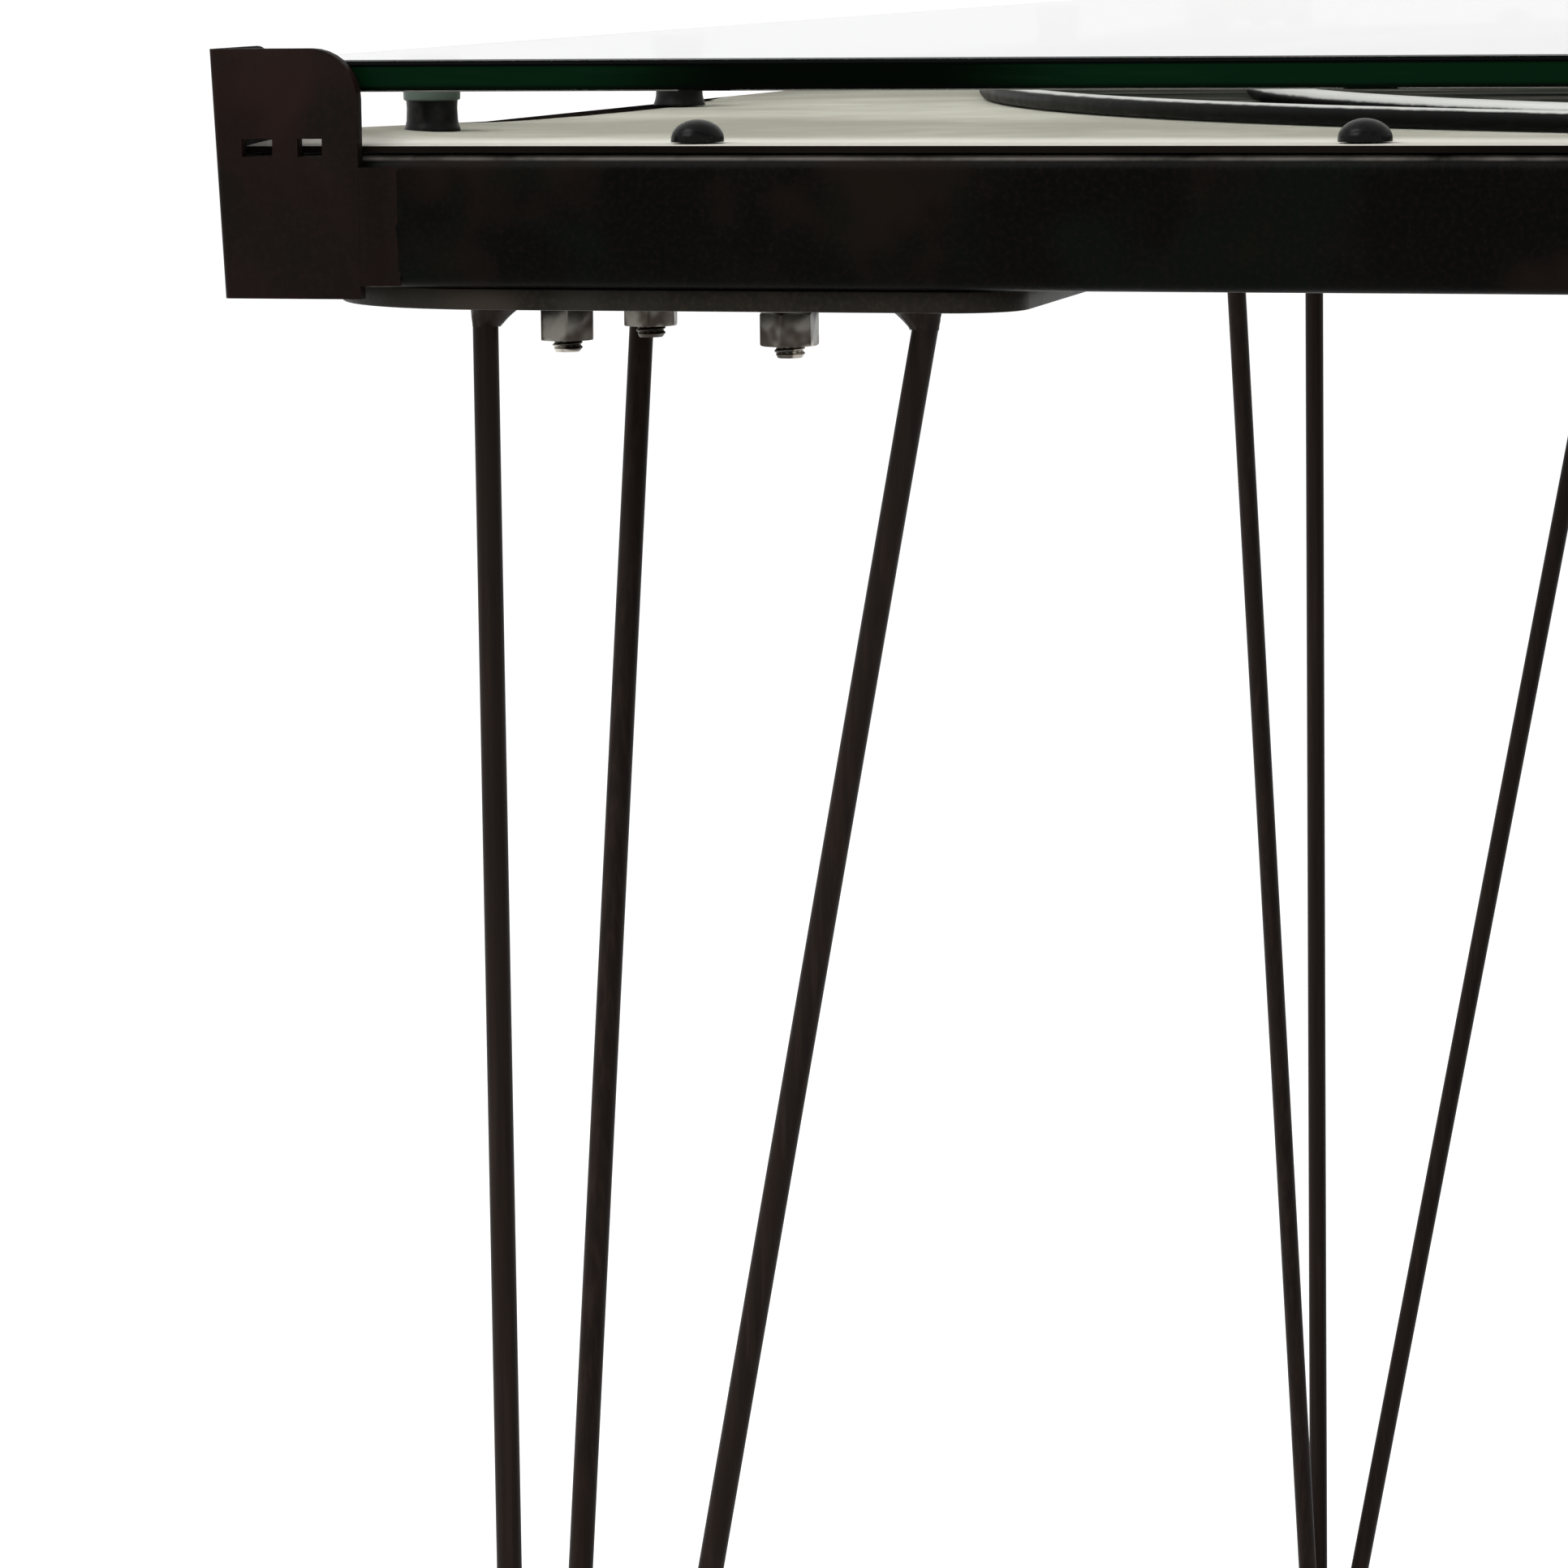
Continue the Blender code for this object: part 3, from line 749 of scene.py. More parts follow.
def round_blank(name, radius, height, rim):
    """A short round bar with its two rims bevelled."""
    clear_hands()
    bpy.ops.mesh.primitive_cylinder_add(vertices=BLANK_SIDES, radius=radius, depth=height)
    blank = bpy.context.object
    blank.name = name
    pick(blank, "EDGE", lambda a, b: abs(a.z - b.z) < SAME)
    bpy.ops.mesh.bevel(offset=rim, segments=3, affect="EDGES")
    leave_edit()
    return blank


def hexagon(name, height):
    """A hexagon whose corners are turned off on both faces."""
    radius = NUT_ACROSS_FLATS / 2 / cos(pi / 6)
    blank = round_blank("blank", radius + BLANK_SPARE, height, NUT_RIM)
    clear_hands()
    bpy.ops.mesh.primitive_cylinder_add(vertices=6, radius=radius, depth=height)
    piece = bpy.context.object
    piece.name = name
    modify(piece, "BOOLEAN", operation="INTERSECT", solver="EXACT", object=blank)
    bpy.data.objects.remove(blank)
    return piece


nut = hexagon("nut", NUT_HEIGHT)
nut_bore = drill("nut_bore", [(0, 0, 0)], NUT_BORE_RADIUS, NUT_BORE_LENGTH)
bore(nut, nut_bore)
ease(nut, NUT_EDGE, 2, 25)
smooth(nut, 30)
washer = round_blank("washer", WASHER_RADIUS, WASHER_THICK, WASHER_RIM)
bore(washer, nut_bore)
smooth(washer, 40)
for number, (spot, turn) in enumerate(zip(bolt_spots, NUT_TURNS), 1):
    nut.rotation_euler.z = turn
    settle(nut)
    nut_place = (spot.x, spot.y, nut_top - NUT_HEIGHT / 2)
    washer_place = (spot.x, spot.y, washer_top - WASHER_THICK / 2)
    fit_corners(twin(nut, "nut_copy", shift=nut_place), f"leg_nut_{number}", "zinc_bolts")
    fit_corners(twin(washer, "washer_copy", shift=washer_place), f"leg_washer_{number}", "zinc_bolts")

for tool in (screw_drill, bolt_drill, nut_bore, nut, washer):
    bpy.data.objects.remove(tool)

# %% [markdown]
# The bolts have hexagon heads that are made as the nuts are. The shank is a disc that is drawn down in
# many fine rings, and a thread is pressed into its lower part: each point moves in by what a helix
# gives for its height and its place round the bolt. A mirror image would turn the thread the wrong
# way round, so all twelve bolts are shifted copies.

# %% Leg bolts
BOLT_RADIUS = 0.0030
BOLT_ROOT = 0.0025
BOLT_POINT = 0.0007
BOLT_HEAD_HEIGHT = 0.0040
THREAD_PITCH = 0.0010
THREAD_LENGTH = 0.0096
RINGS_PER_PITCH = 12
BOLT_SIDES = 24

bolt_low, bolt_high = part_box(nodes_of("leg_bolt")[0])
head_middle = bolt_high.z - BOLT_HEAD_HEIGHT / 2
thread_bottom = bolt_low.z + BOLT_POINT
thread_top = thread_bottom + THREAD_LENGTH
thread_rings = round(THREAD_LENGTH / THREAD_PITCH * RINGS_PER_PITCH)

shank = disc("shank", BOLT_SIDES, BOLT_RADIUS, (0, 0, head_middle))
draw_on((0, 0, thread_top - head_middle))
draw_on((0, 0, -THREAD_LENGTH), steps=thread_rings)
draw_on((0, 0, -BOLT_POINT), share=1 - BOLT_POINT / BOLT_RADIUS)
close_up(shank)


def into_thread(point):
    """Moves a point of the shank in, by nothing on the helix and most midway between its turns."""
    if not thread_bottom - SAME < point.z < thread_top + SAME:
        return Vector((0, 0, 0))
    turn_share = (point.z / THREAD_PITCH - atan2(point.y, point.x) / tau) % 1
    valley = 1 - abs(2 * turn_share - 1)
    fading_in = min(1.0, (thread_top - point.z) / THREAD_PITCH)
    outwards = Vector((point.x, point.y, 0)).normalized()
    return outwards * (BOLT_ROOT - BOLT_RADIUS) * valley * fading_in


press(shank, into_thread)
bolt = hexagon("bolt", BOLT_HEAD_HEIGHT)
bolt.location.z = head_middle
settle(bolt)
modify(bolt, "BOOLEAN", operation="UNION", solver="EXACT", object=shank)
close_up(bolt)
smooth(bolt, 30)
bpy.data.objects.remove(shank)
fit_copies(bolt, "hexagon_bolt", "zinc_bolts", "leg_bolt", 0)

# %% [markdown]
# Every rod is welded to its plate, with most of the metal on one side, where the torch could reach.
# The fillet is a disc under the plate that is drawn down in rings. Each ring is smaller and nearer
# to the rod's middle than the last, so the fillet thins out into the rod.

# %% Fillets at the rods' tops
FILLET_SIDES = 28
FILLET_UNEVEN = 0.0002
FILLET_RINGS = (
    (0.0000, 0.0058, 0.0031),
    (0.0009, 0.0051, 0.0025),
    (0.0020, 0.0043, 0.0017),
    (0.0033, 0.0035, 0.0009),
    (0.0050, 0.0027, 0.0001),
)


def fillet(name, top, lean, side):
    """A weld under the plate at a rod's top; lean is the rod's run per drop, side the heavy side."""
    spots = []
    for drop, radius, offset in FILLET_RINGS:
        spots.append((top + lean * drop + side * offset - Vector((0, 0, drop)), radius))
    weld = disc(name, FILLET_SIDES, spots[0][1], spots[0][0])
    for (spot, radius), (next_spot, next_radius) in zip(spots, spots[1:]):
        draw_on(next_spot - spot, share=next_radius / radius)
    bpy.ops.mesh.select_all(action="SELECT")
    bpy.ops.transform.vertex_random(offset=FILLET_UNEVEN, uniform=0.3, normal=0.7, seed=7)
    close_up(weld)
    smooth(weld, 70)
    return weld


slope = run / rise
rod_tops = (
    ("upright", (ROD_IN, ROD_IN), 0, (1, 0, 0)),
    ("slanted", (ROD_OUT, ROD_IN), slope, (-1, 0, 0)),
    ("brace", (ROD_IN, ROD_OUT), slope, (0, -1, 0)),
)
for name, spot, steepness, side in rod_tops:
    top = frame_corner + Vector((*spot, plate_bottom - CLEARANCE))
    weld = fillet(f"{name}_weld", top, Vector(side) * steepness, Vector(side))
    fit_corners(weld, f"{name}_fillet", "dark_rods")

# %% [markdown]
# The top lies on the buttons as one pane. It is modelled again over its solid so that its long
# arrises are clean and its edge can be finished apart from its faces: the faces are clear, while
# the edge gathers the green of the whole sheet.

# %% Glass pane
ARRIS = 0.0009
PANE_CORNER = 0.003
PANE_SMOOTHING = 12

low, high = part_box("glass_top")
pane = block("glass_pane", low, high)
pick(pane, "EDGE", lambda a, b: abs(a.z - b.z) > NEAR)
bpy.ops.mesh.bevel(offset=PANE_CORNER, segments=5, affect="EDGES")
pick(pane, "EDGE", lambda a, b: abs(a.z - b.z) < SAME)
bpy.ops.mesh.bevel(offset=ARRIS, segments=2, affect="EDGES")
leave_edit()
smooth(pane, PANE_SMOOTHING)
fit(pane, "clear_glass", "glass_top")
print("glass pane,", len(pane.data.polygons), "faces")

# %% [markdown]
# Finishes are written as sums. A small class wraps a socket of a node tree, so that plus, minus and
# times between values add the Math nodes by themselves, and one method makes every other node. A Mix
# node's colour sockets share their names with its number sockets, so they are taken by their places.

# %% Shader sums
MIX_COLOURS_IN = (6, 7)
MIX_COLOUR_OUT = 2


class Tone:
    """A socket in a node tree, with arithmetic. One without a socket only makes new nodes."""

    def __init__(self, tree, socket):
        self.tree = tree
        self.socket = socket

    def make(self, kind, settings, sockets, output=0):
        """A node of this kind: its settings first, then the values or links of its sockets."""
        node = self.tree.nodes.new(kind)
        for name, value in settings.items():
            if name == "stops":
                ramp = node.color_ramp.elements
                while len(ramp) < len(value):
                    ramp.new(1.0)
                for stop, (position, colour) in zip(ramp, value):
                    stop.position = position
                    stop.color = colour
            else:
                setattr(node, name, value)
        for name, value in sockets.items():
            if isinstance(value, Tone):
                self.tree.links.new(value.socket, node.inputs[name])
            else:
                node.inputs[name].default_value = value
        return Tone(self.tree, node.outputs[output])

    def sum(self, operation, first, second):
        return self.make("ShaderNodeMath", {"operation": operation}, {0: first, 1: second})

    def __add__(self, other):
        return self.sum("ADD", self, other)

    def __radd__(self, other):
        return self.sum("ADD", other, self)

    def __sub__(self, other):
        return self.sum("SUBTRACT", self, other)

    def __rsub__(self, other):
        return self.sum("SUBTRACT", other, self)

    def __mul__(self, other):
        return self.sum("MULTIPLY", self, other)

    def __rmul__(self, other):
        return self.sum("MULTIPLY", other, self)

    def most(self, other):
        return self.sum("MAXIMUM", self, other)

    def size(self):
        """The value without its sign."""
        return self.make("ShaderNodeMath", {"operation": "ABSOLUTE"}, {0: self})

    def between(self, low, high):
        """0 below low, 1 above high, and a smooth climb between them."""
        sockets = {"Value": self, "From Min": low, "From Max": high}
        return self.make("ShaderNodeMapRange", {"interpolation_type": "SMOOTHSTEP"}, sockets)

    def blend(self, first, second):
        """The first colour where this is 0, the second where it is 1."""
        sockets = {0: self}
        for index, colour in zip(MIX_COLOURS_IN, (first, second)):
            sockets[index] = colour if isinstance(colour, Tone) else (*colour, 1)
        return self.make("ShaderNodeMix", {"data_type": "RGBA"}, sockets, MIX_COLOUR_OUT)

    def noise(self, scale, detail=2.0, roughness=0.5, distortion=0.0):
        sockets = {"Scale": scale, "Detail": detail, "Roughness": roughness, "Distortion": distortion}
        return self.make("ShaderNodeTexNoise", {}, {"Vector": self, **sockets})

    def stretched(self, x, y, z):
        return self.make("ShaderNodeMapping", {}, {"Vector": self, "Scale": (x, y, z)})

    def part(self, axis):
        """One of a vector's three parts, X, Y or Z."""
        return self.make("ShaderNodeSeparateXYZ", {}, {"Vector": self}, axis)


# %% [markdown]
# A finish is a material with one Principled shader. Values that are the same all over are set on the
# shader at the start, and values that change over the surface are fed to it later.


# %% Finishes
class Finish:
    """A material with one Principled shader, and the object's own coordinates to paint by."""

    def __init__(self, name, **constants):
        self.material = bpy.data.materials.new(name)
        self.material.use_nodes = True
        self.tree = self.material.node_tree
        self.shader = self.tree.nodes["Principled BSDF"]
        for socket, value in constants.items():
            self.shader.inputs[socket.replace("_", " ")].default_value = value
        self.place = Tone(self.tree, None).make("ShaderNodeTexCoord", {}, {}, "Object")
        print("finish begun:", name)

    def upness(self):
        """1 where the surface looks up, 0 where it stands upright, and -1 where it looks down."""
        return self.place.make("ShaderNodeNewGeometry", {}, {}, "Normal").part("Z")

    def feed(self, socket, tone):
        self.tree.links.new(tone.socket, self.shader.inputs[socket])

    def bump(self, height, strength, distance):
        sockets = {"Height": height, "Strength": strength, "Distance": distance}
        self.feed("Normal", height.make("ShaderNodeBump", {}, sockets))


# %% [markdown]
# The steel of the frame was left dark: a brown-black skin with clouds of red-brown and green-black
# a few centimetres across, fine grain, and a little gloss. Noises of different sizes give the clouds
# and the grain. A painted highlight runs along the tubes' upper bends, found from the direction of
# the surface. The corners are redder than the rails, where the welds were heated. The leg plates are
# painted lighter all over, as painted highlight for the light lines along their edges, so the same
# recipe is mixed three times.


# %% Patina on the frame
def patina(name, black, warm, cool, painted_highlight):
    """A dark skin on steel: black with warm and cool clouds, and a painted highlight along upper
    bends.
    """
    skin = Finish(name, Specular_IOR_Level=0.03)
    clouds = skin.place.noise(26.0, 3.0, 0.55).between(0.46, 0.64)
    chill = skin.place.noise(33.0, 2.0, 0.5, 0.4).between(0.50, 0.66)
    grain = skin.place.noise(900.0, 4.0, 0.6)
    upness = skin.upness()
    # Painted highlight: the bright colour is laid on the tubes' upper bends, where the lamp's
    # highlight falls.
    bend = upness.between(0.60, 0.80) * (1 - upness.between(0.95, 0.995))
    highlight_on_bend = bend * skin.place.noise(60.0, 4.0, 0.6).between(0.20, 0.60)
    mottled = chill.blend(clouds.blend(black, warm), cool)
    mottled = (grain.between(0.4, 0.8) * 0.6).blend(mottled, warm)
    skin.feed("Base Color", highlight_on_bend.blend(mottled, painted_highlight))
    skin.feed("Roughness", 0.30 + clouds * 0.14 + grain * 0.10)
    skin.bump(grain + clouds * 0.8, 0.18, 0.0004)
    return skin


# The last colour of each recipe is its painted highlight along the upper bends.
rail_patina = patina(
    "patina_steel",
    black=(0.0006, 0.0006, 0.0005),
    warm=(0.0068, 0.0040, 0.0028),
    cool=(0.0012, 0.0023, 0.0013),
    painted_highlight=(0.150, 0.136, 0.122),
)
# Painted highlight: the plate's colours are lighter all over than the rails', standing in for the
# light lines along the plates' edges.
plate_patina_lit = patina(
    "plate_steel",
    black=(0.0155, 0.0135, 0.0108),
    warm=(0.0370, 0.0300, 0.0240),
    cool=(0.0260, 0.0245, 0.0205),
    painted_highlight=(0.032, 0.029, 0.026),
)
corner_patina = patina(
    "corner_steel",
    black=(0.0088, 0.0050, 0.0042),
    warm=(0.0140, 0.0070, 0.0056),
    cool=(0.0058, 0.0046, 0.0037),
    painted_highlight=(0.018, 0.011, 0.009),
)

# %% [markdown]
# The rods are drawn bar with the same dark skin, a little browner, with faint streaks along their
# length. Noise that is stretched along the rod's height gives the streaks.

# %% Drawn bar
BAR_BLACK = (0.0088, 0.0050, 0.0038)
BAR_BROWN = (0.0190, 0.0115, 0.0086)
BAR_PATCH = (0.0120, 0.0070, 0.0050)

bar = Finish("dark_rods", Specular_IOR_Level=0.07)
streak = bar.place.stretched(700.0, 700.0, 18.0).noise(1.0, 3.0, 0.6)
patches = bar.place.noise(34.0, 3.0, 0.6).between(0.45, 0.7)
streaky = streak.between(0.35, 0.75).blend(BAR_BLACK, BAR_BROWN)
bar.feed("Base Color", patches.blend(streaky, BAR_PATCH))
bar.feed("Roughness", 0.33 + streak * 0.22)
bar.bump(streak, 0.15, 0.0003)

# %% [markdown]
# The nuts, washers and bolts are zinc-plated: metal with a crystalline cloud, painted dark grey. Dark
# patches on it are painted reflection of the dark plate above, and a few bright patches are painted
# glints on single flats.

# %% Zinc plate
ZINC_GREY = (0.13, 0.122, 0.108)
ZINC_DARK_REFLECTION = (0.042, 0.034, 0.028)
ZINC_GLINT = (0.46, 0.43, 0.38)

zinc = Finish("zinc_plate", Metallic=1.0)
spangle = zinc.place.noise(420.0, 3.0, 0.6)
# Painted reflection and glints: dark patches stand for the dark plate mirrored in the flats, and
# bright patches for glints.
dark_reflection_patches = zinc.place.noise(130.0, 2.0, 0.5).between(0.42, 0.58)
glint_patches = zinc.place.noise(95.0, 1.0, 0.4).between(0.57, 0.63)
zinc.feed("Base Color", glint_patches.blend(dark_reflection_patches.blend(ZINC_GREY, ZINC_DARK_REFLECTION), ZINC_GLINT))
zinc.feed("Roughness", 0.18 + spangle * 0.16 + dark_reflection_patches * 0.14)
zinc.bump(spangle, 0.08, 0.0002)

# %% [markdown]
# The screw heads are black enamel: deep and glossy, with a faint orange peel.

# %% Black enamel
ENAMEL_DEEP = (0.0015, 0.0015, 0.0015)
ENAMEL_PALE = (0.004, 0.0037, 0.0035)

enamel = Finish("black_enamel", Specular_IOR_Level=0.10)
peel = enamel.place.noise(700.0, 2.0, 0.5)
enamel.feed("Base Color", peel.between(0.3, 0.8).blend(ENAMEL_DEEP, ENAMEL_PALE))
enamel.feed("Roughness", 0.16 + peel * 0.16)
enamel.bump(peel, 0.06, 0.0003)

# %% [markdown]
# The buttons under the glass are rubber, so their shine is softer and they show a light bloom. Their
# heads are painted grey-green, as painted reflection of the glass that lies on them.

# %% Black rubber
RUBBER_BLACK = (0.0018, 0.0017, 0.0016)
RUBBER_BLOOM = (0.010, 0.009, 0.0085)
RUBBER_HEAD_REFLECTION = (0.072, 0.094, 0.080)
BUMPER_HEAD = 0.0033
HEAD_BLUR = 0.0002

rubber = Finish("black_rubber", Specular_IOR_Level=0.10)
bloom = rubber.place.noise(320.0, 3.0, 0.6)
head_bottom = bumper_high.z - BUMPER_HEAD
# Painted reflection: the head is coloured the grey-green of the glass on it.
head = rubber.place.part("Z").between(head_bottom - HEAD_BLUR, head_bottom)
body = bloom.between(0.4, 0.8).blend(RUBBER_BLACK, RUBBER_BLOOM)
rubber.feed("Base Color", head.blend(body, RUBBER_HEAD_REFLECTION))
rubber.feed("Roughness", 0.24 + bloom * 0.2)
rubber.bump(bloom, 0.08, 0.0003)

# %% [markdown]
# The hoops are forged iron with black scale. Their top is painted bright as a painted highlight, and
# their sides stay black as scale and painted shade. The direction that a face looks in, from the
# Geometry node's normal, tells top from side. The inner hoop's painted highlight reaches further down
# its sides. The distance to the middle, measured in hoop radii, tells the two apart.

# %% Forged iron
INNER_HIGHLIGHT = 0.60
IRON_SCALE_AND_SHADE = (0.0015, 0.0015, 0.0015)
IRON_HIGHLIGHT = (0.62, 0.61, 0.59)


def hoop_radii(finish):
    """The distance to the table's middle, measured in radii of the outer hoop."""
    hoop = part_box("outer_hoop")[1]
    shares = finish.place.stretched(1 / hoop.x, 1 / hoop.y, 0)
    return shares.make("ShaderNodeVectorMath", {"operation": "LENGTH"}, {0: shares}, "Value")


iron = Finish("worn_iron", Specular_IOR_Level=0.05)
scale_spots = iron.place.noise(160.0, 4.0, 0.6)
inner = 1 - hoop_radii(iron).between(0.955, 0.965)
# Painted highlight on faces that look up and on the inner hoop's sides; the rest keeps the black of
# scale and painted shade.
highlit_top = (iron.upness() + scale_spots * 0.3 + inner * INNER_HIGHLIGHT).between(0.82, 1.10)
iron.feed("Base Color", highlit_top.blend(IRON_SCALE_AND_SHADE, IRON_HIGHLIGHT))
iron.feed("Metallic", highlit_top * 0.7)
iron.feed("Roughness", 0.30 + scale_spots * 0.25)
iron.bump(scale_spots, 0.25, 0.0004)

# %% [markdown]
# The panel is painted a pale stone colour on top, with soft brown and grey clouds, and its edges and
# underside are left as dark as the frame. Inside the outer hoop it is dark, with brown and grey
# streaks. Along its front and rear edges a paler band is painted light, where more light reaches
# under the glass; along its two side edges long ragged dark lenses are painted shade of the gap under
# the sheet's edge; and painted shade darkens the corners behind the angles. The oval comes from the
# distance to the middle, measured in hoop radii.

# %% Pale panel: stone colour and dark inside
STONE_GREY = (0.275, 0.263, 0.222)
STONE_PALE = (0.445, 0.425, 0.372)
STONE_STREAK = (0.27, 0.26, 0.225)
STONE_SPECK = (0.32, 0.30, 0.255)
DARK_INSIDE_STOPS = (
    (0.36, (0.004, 0.004, 0.004, 1)),
    (0.47, (0.019, 0.022, 0.018, 1)),
    (0.56, (0.040, 0.036, 0.031, 1)),
    (0.66, (0.108, 0.104, 0.090, 1)),
)

panel = Finish("pale_panel", Specular_IOR_Level=0.0)
wash = panel.place.noise(9.0, 4.0, 0.6).between(0.35, 0.68)
specks = panel.place.noise(150.0, 4.0, 0.65)
streaks = panel.place.stretched(6.0, 40.0, 1.0).noise(1.0, 4.0, 0.6).between(0.45, 0.75)
stone = wash.blend(STONE_GREY, STONE_PALE)
stone = (streaks * 0.5).blend(stone, STONE_STREAK)
stone = (specks.between(0.45, 0.8) * 0.5).blend(stone, STONE_SPECK)
dark_streaks = panel.place.stretched(9.0, 60.0, 1.0).noise(1.0, 4.0, 0.65, 0.3)
dark_stone = dark_streaks.make("ShaderNodeValToRGB", {"stops": DARK_INSIDE_STOPS}, {"Fac": dark_streaks})
inside = 1 - hoop_radii(panel).between(0.985, 0.995)

# %% [markdown]
# The edges come on top of that. A painted shade lens along a side edge is a flat parabola with a
# ragged noise on it, and the painted corner shade fills a quarter of an ellipse at each corner.

# %% Pale panel: painted light along the ends, painted shade at the sides and corners
PAINTED_RIM_LIGHT = (0.63, 0.595, 0.555)
RIM_LIGHT_FROM = 0.048
RIM_LIGHT_FULL = 0.016
CORNER_SHADE = (0.085, 0.072, 0.064)
CORNER_SHADE_WIDTH = 0.028
CORNER_SHADE_LENGTH = 0.055
LENS_MIDDLE = 0.168
LENS_HALF_LENGTH = 0.086
LENS_WIDTH = 0.0115
LENS_BLUR_IN = 0.0010
LENS_BLUR_OUT = 0.0004
RAGGED = 0.006
BARE_AND_SHADE_BLACK = (0.0035, 0.0030, 0.0026)
BARE_AND_SHADE_BROWN = (0.0090, 0.0070, 0.0056)

side_edge = panel_high.x
end_edge = panel_high.y
to_side = panel.place.part("X").size()
to_end = panel.place.part("Y").size()
ragged = panel.place.noise(45.0, 4.0, 0.65) * RAGGED - RAGGED / 2
# Painted shade: ragged dark lenses along the two side edges, where the gap under the sheet's edge is
# in shadow.
off_middle = (to_end - LENS_MIDDLE) * (1 / LENS_HALF_LENGTH)
lens = LENS_WIDTH * (1 - off_middle * off_middle) + ragged
side_shade = (to_side + lens).between(side_edge - LENS_BLUR_IN, side_edge + LENS_BLUR_OUT)
# Painted shade: a darker quarter ellipse in each corner behind the angles.
from_side = (side_edge - to_side) * (1 / CORNER_SHADE_WIDTH)
from_end = (end_edge - to_end) * (1 / CORNER_SHADE_LENGTH)
shaded_corner = 1 - (from_side * from_side + from_end * from_end + ragged * 60).between(0.5, 1.1)
# Painted light: a paler band along the front and rear edges.
rim = to_end.between(end_edge - RIM_LIGHT_FROM, end_edge - RIM_LIGHT_FULL)
stone = (rim * 0.85).blend(stone, PAINTED_RIM_LIGHT)
stone = (shaded_corner * 0.45).blend(stone, CORNER_SHADE)
# The dark colour covers the bare edges and underside, and the painted shade of the side lenses.
bare_edges_and_side_shade = side_shade.most(1 - panel.upness().between(0.5, 0.8))
bare_steel_and_shade = wash.blend(BARE_AND_SHADE_BLACK, BARE_AND_SHADE_BROWN)
panel.feed("Base Color", bare_edges_and_side_shade.blend(inside.blend(stone, dark_stone), bare_steel_and_shade))
panel.feed("Roughness", 0.50 + specks * 0.25)
panel.bump(specks, 0.12, 0.0004)
print("panel painted up to", round(side_edge, 4), "and", round(end_edge, 4), "m from its middle")

# %% [markdown]
# The top is clear float glass, almost without colour through its face. Light on its way to the panel
# passes straight through, as a lamp's light does through a real pane.

# %% Float glass
GLASS_CLEAR = (0.97, 0.99, 0.98)
GLASS_SMEAR = (0.955, 0.980, 0.968)
GLASS_SHADOW = (0.95, 0.975, 0.96, 1)

glass = Finish("float_glass", Roughness=0.0, IOR=1.52, Transmission_Weight=1.0)
smears = glass.place.noise(14.0, 3.0, 0.6).between(0.4, 0.7)
glass.feed("Base Color", smears.blend(GLASS_CLEAR, GLASS_SMEAR))
shadow = glass.place.make("ShaderNodeLightPath", {}, {}, "Is Shadow Ray")
clear = glass.place.make("ShaderNodeBsdfTransparent", {}, {"Color": GLASS_SHADOW})
solid = Tone(glass.tree, glass.shader.outputs[0])
surface = glass.place.make("ShaderNodeMixShader", {}, {0: shadow, 1: solid, 2: clear})
glass.tree.links.new(surface.socket, glass.tree.nodes["Material Output"].inputs["Surface"])

# %% [markdown]
# The edge looks along the whole sheet, so it is a deep bottle green. A wave fades it to black and back
# along the table, as painted reflection of dark things behind the glass, and the ground arrises show
# as two dark lines.

# %% Green edge of the glass
EDGE_REFLECTED_DARK = (0.0002, 0.0012, 0.0003)
EDGE_GREEN = (0.0012, 0.0104, 0.0034)
EDGE_BRIGHT = (0.0020, 0.0130, 0.0048)
EDGE_LINE = (0.0003, 0.0007, 0.0005)
UPPER_LINE = (0.0016, 0.0011)
LOWER_LINE = (0.0006, 0.0014)
REFLECTION_WAVE_SCALE = 1.496
REFLECTION_WAVE_PHASE = 2.394

glass_edge = Finish("green_edge", Specular_IOR_Level=0.01)
# Painted reflection: a wave fades the edge from green to black in bands along the table.
reflection_wave = glass_edge.place.make(
    "ShaderNodeTexWave",
    {"wave_type": "BANDS", "bands_direction": "X", "wave_profile": "SIN"},
    {"Vector": glass_edge.place, "Scale": REFLECTION_WAVE_SCALE, "Distortion": 0.0, "Phase Offset": REFLECTION_WAVE_PHASE},
    "Fac",
)
reflection_wave = reflection_wave.between(0.06, 0.50)
fine = glass_edge.place.stretched(60.0, 60.0, 900.0).noise(1.0, 3.0, 0.6)
height = glass_edge.place.part("Z")
pane_low, pane_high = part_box("glass_top")
upper_line = height.between(*(pane_high.z - depth for depth in UPPER_LINE))
lower_line = 1 - height.between(*(pane_low.z + depth for depth in LOWER_LINE))
bottle = reflection_wave.blend(EDGE_REFLECTED_DARK, EDGE_GREEN)
bottle = (fine.between(0.5, 0.8) * reflection_wave).blend(bottle, EDGE_BRIGHT)
glass_edge.feed("Base Color", upper_line.most(lower_line * 0.8).blend(bottle, EDGE_LINE))
glass_edge.feed("Roughness", 0.12 + fine * 0.15)

# %% [markdown]
# Every piece now gets the finish that it was fitted with. The gussets inside the frame are flat plates
# whose solids are right as they are, so they only get the rails' finish. The pane has two: its faces
# are clear, and every face that does not look up or down is green.

# %% Put the finishes on
FINISHES = {
    "patina_steel": rail_patina,
    "corner_steel": corner_patina,
    "plate_steel": plate_patina_lit,
    "dark_rods": bar,
    "zinc_bolts": zinc,
    "black_screws": enamel,
    "worn_iron": iron,
    "pale_panel": panel,
    "black_rubber": rubber,
    "clear_glass": glass,
}


def coat(piece, finish):
    piece.data.materials.clear()
    piece.data.materials.append(finish.material)


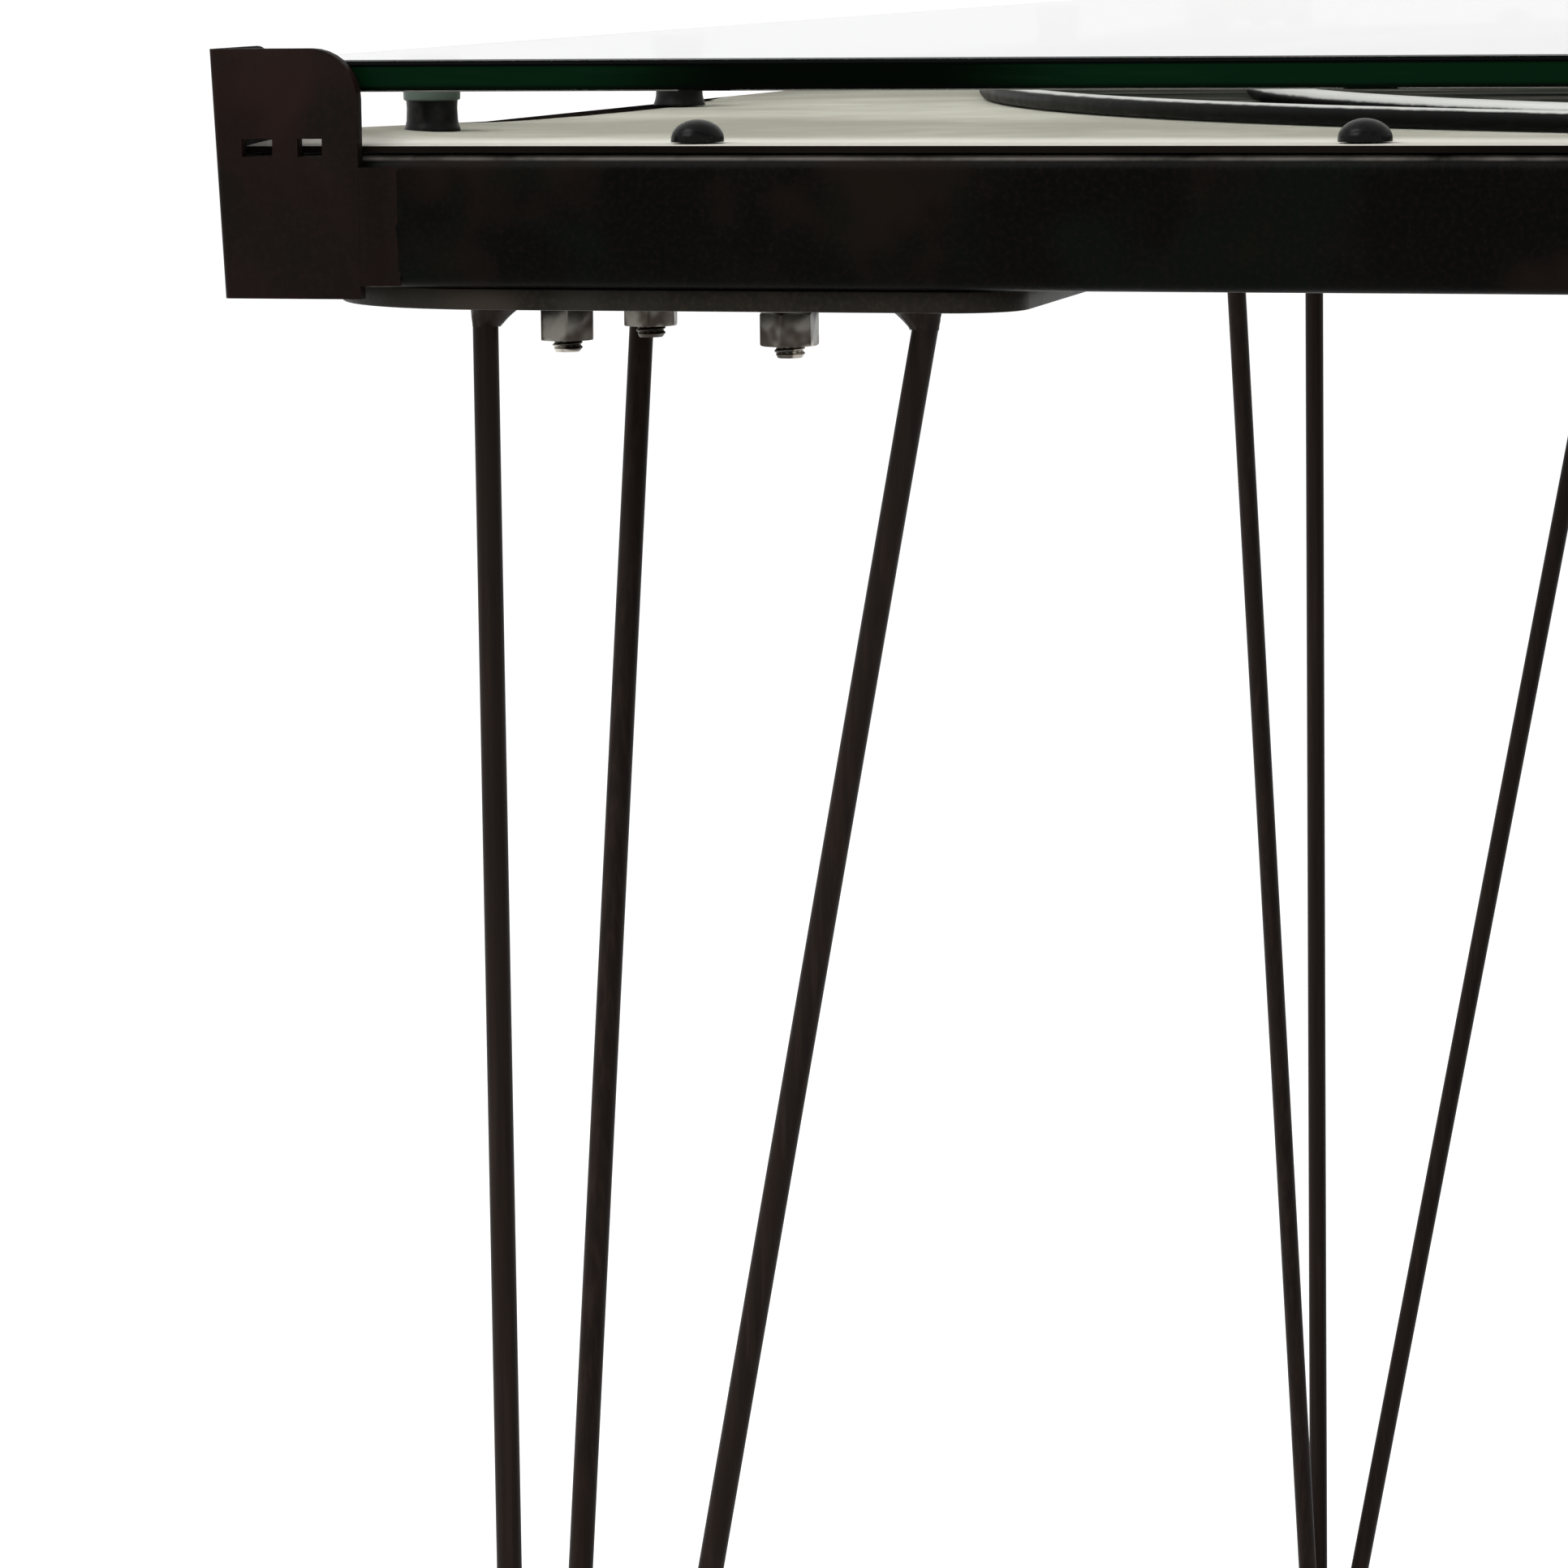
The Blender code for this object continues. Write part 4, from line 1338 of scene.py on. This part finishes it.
for piece, finish in dressed:
    coat(piece, FINISHES[finish])
for node in nodes_of("corner_gusset"):
    coat(solids[node], rail_patina)
pane.data.materials.append(glass_edge.material)
pick(pane, "FACE", lambda centre, normal: abs(normal.z) < SQUARE_ON)
pane.active_material_index = 1
bpy.ops.object.material_slot_assign()
leave_edit()
print("pieces dressed:", len(dressed))

# %% [markdown]
# The studio has a wide pale floor. It reads as white to the camera, and it keeps the table's shadow
# because only half of its white is its own glow.

# %% Floor
FLOOR_SIZE = 600
FLOOR_DROP = 0.0005
PAPER_GREY = (0.80, 0.80, 0.80)
PAPER_PALE = (0.82, 0.82, 0.82)
PAPER_GLOW = (0.46, 0.46, 0.46)
NO_GLOW = (0, 0, 0)


def seen_directly(tree):
    """1 for the rays that show a background, 0 for the rays that only carry its light."""
    camera_ray, glossy_ray, clear_ray = (
        Tone(tree, None).make("ShaderNodeLightPath", {}, {}, f"Is {kind} Ray")
        for kind in ("Camera", "Glossy", "Transmission")
    )
    return camera_ray.most(glossy_ray).most(clear_ray)


clear_hands()
bpy.ops.mesh.primitive_plane_add(size=FLOOR_SIZE, location=(0, 0, -FLOOR_DROP))
floor = settle(bpy.context.object)
floor.name = "studio_floor"
floor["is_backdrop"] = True
paper = Finish("studio_paper", Roughness=0.9, Specular_IOR_Level=0.1, Emission_Strength=1.0)
fleck = paper.place.noise(3.0, 2.0, 0.5)
paper.feed("Base Color", fleck.blend(PAPER_GREY, PAPER_PALE))
paper.feed("Emission Color", seen_directly(paper.tree).blend(NO_GLOW, PAPER_GLOW))
coat(floor, paper)

# %% [markdown]
# An even white sky lights the table from all sides, and one large soft lamp to the upper left draws
# the highlights along the tubes.

# %% Sky and lamp
SKY_LIGHT = 0.72
LAMP_PLACE = (-1.6, -1.8, 2.6)
LAMP_SIZE = 2.0
LAMP_WATTS = 60

world = bpy.data.worlds.new("studio_sky")
bpy.context.scene.world = world
world.use_nodes = True
sky = world.node_tree.nodes["Background"]
sky.inputs["Color"].default_value = (1, 1, 1, 1)
level = SKY_LIGHT + seen_directly(world.node_tree) * (1 - SKY_LIGHT)
world.node_tree.links.new(level.socket, sky.inputs["Strength"])

bpy.ops.object.light_add(type="AREA", location=LAMP_PLACE)
lamp = bpy.context.object
lamp.name = "soft_lamp"
lamp.data.shape = "SQUARE"
lamp.data.size = LAMP_SIZE
lamp.data.energy = LAMP_WATTS
lamp.rotation_euler = (-lamp.location).to_track_quat("-Z", "Y").to_euler()
lamp.visible_camera = False

bpy.context.scene.view_settings.view_transform = "Standard"
print("sky at", SKY_LIGHT, "and lamp at", LAMP_WATTS, "W")

# %% [markdown]
# The table's box is measured once more, because dressing it must not make it larger than its solids.

# %% Sizes and finish
low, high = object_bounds()
print("visual box from", low[:], "to", high[:])
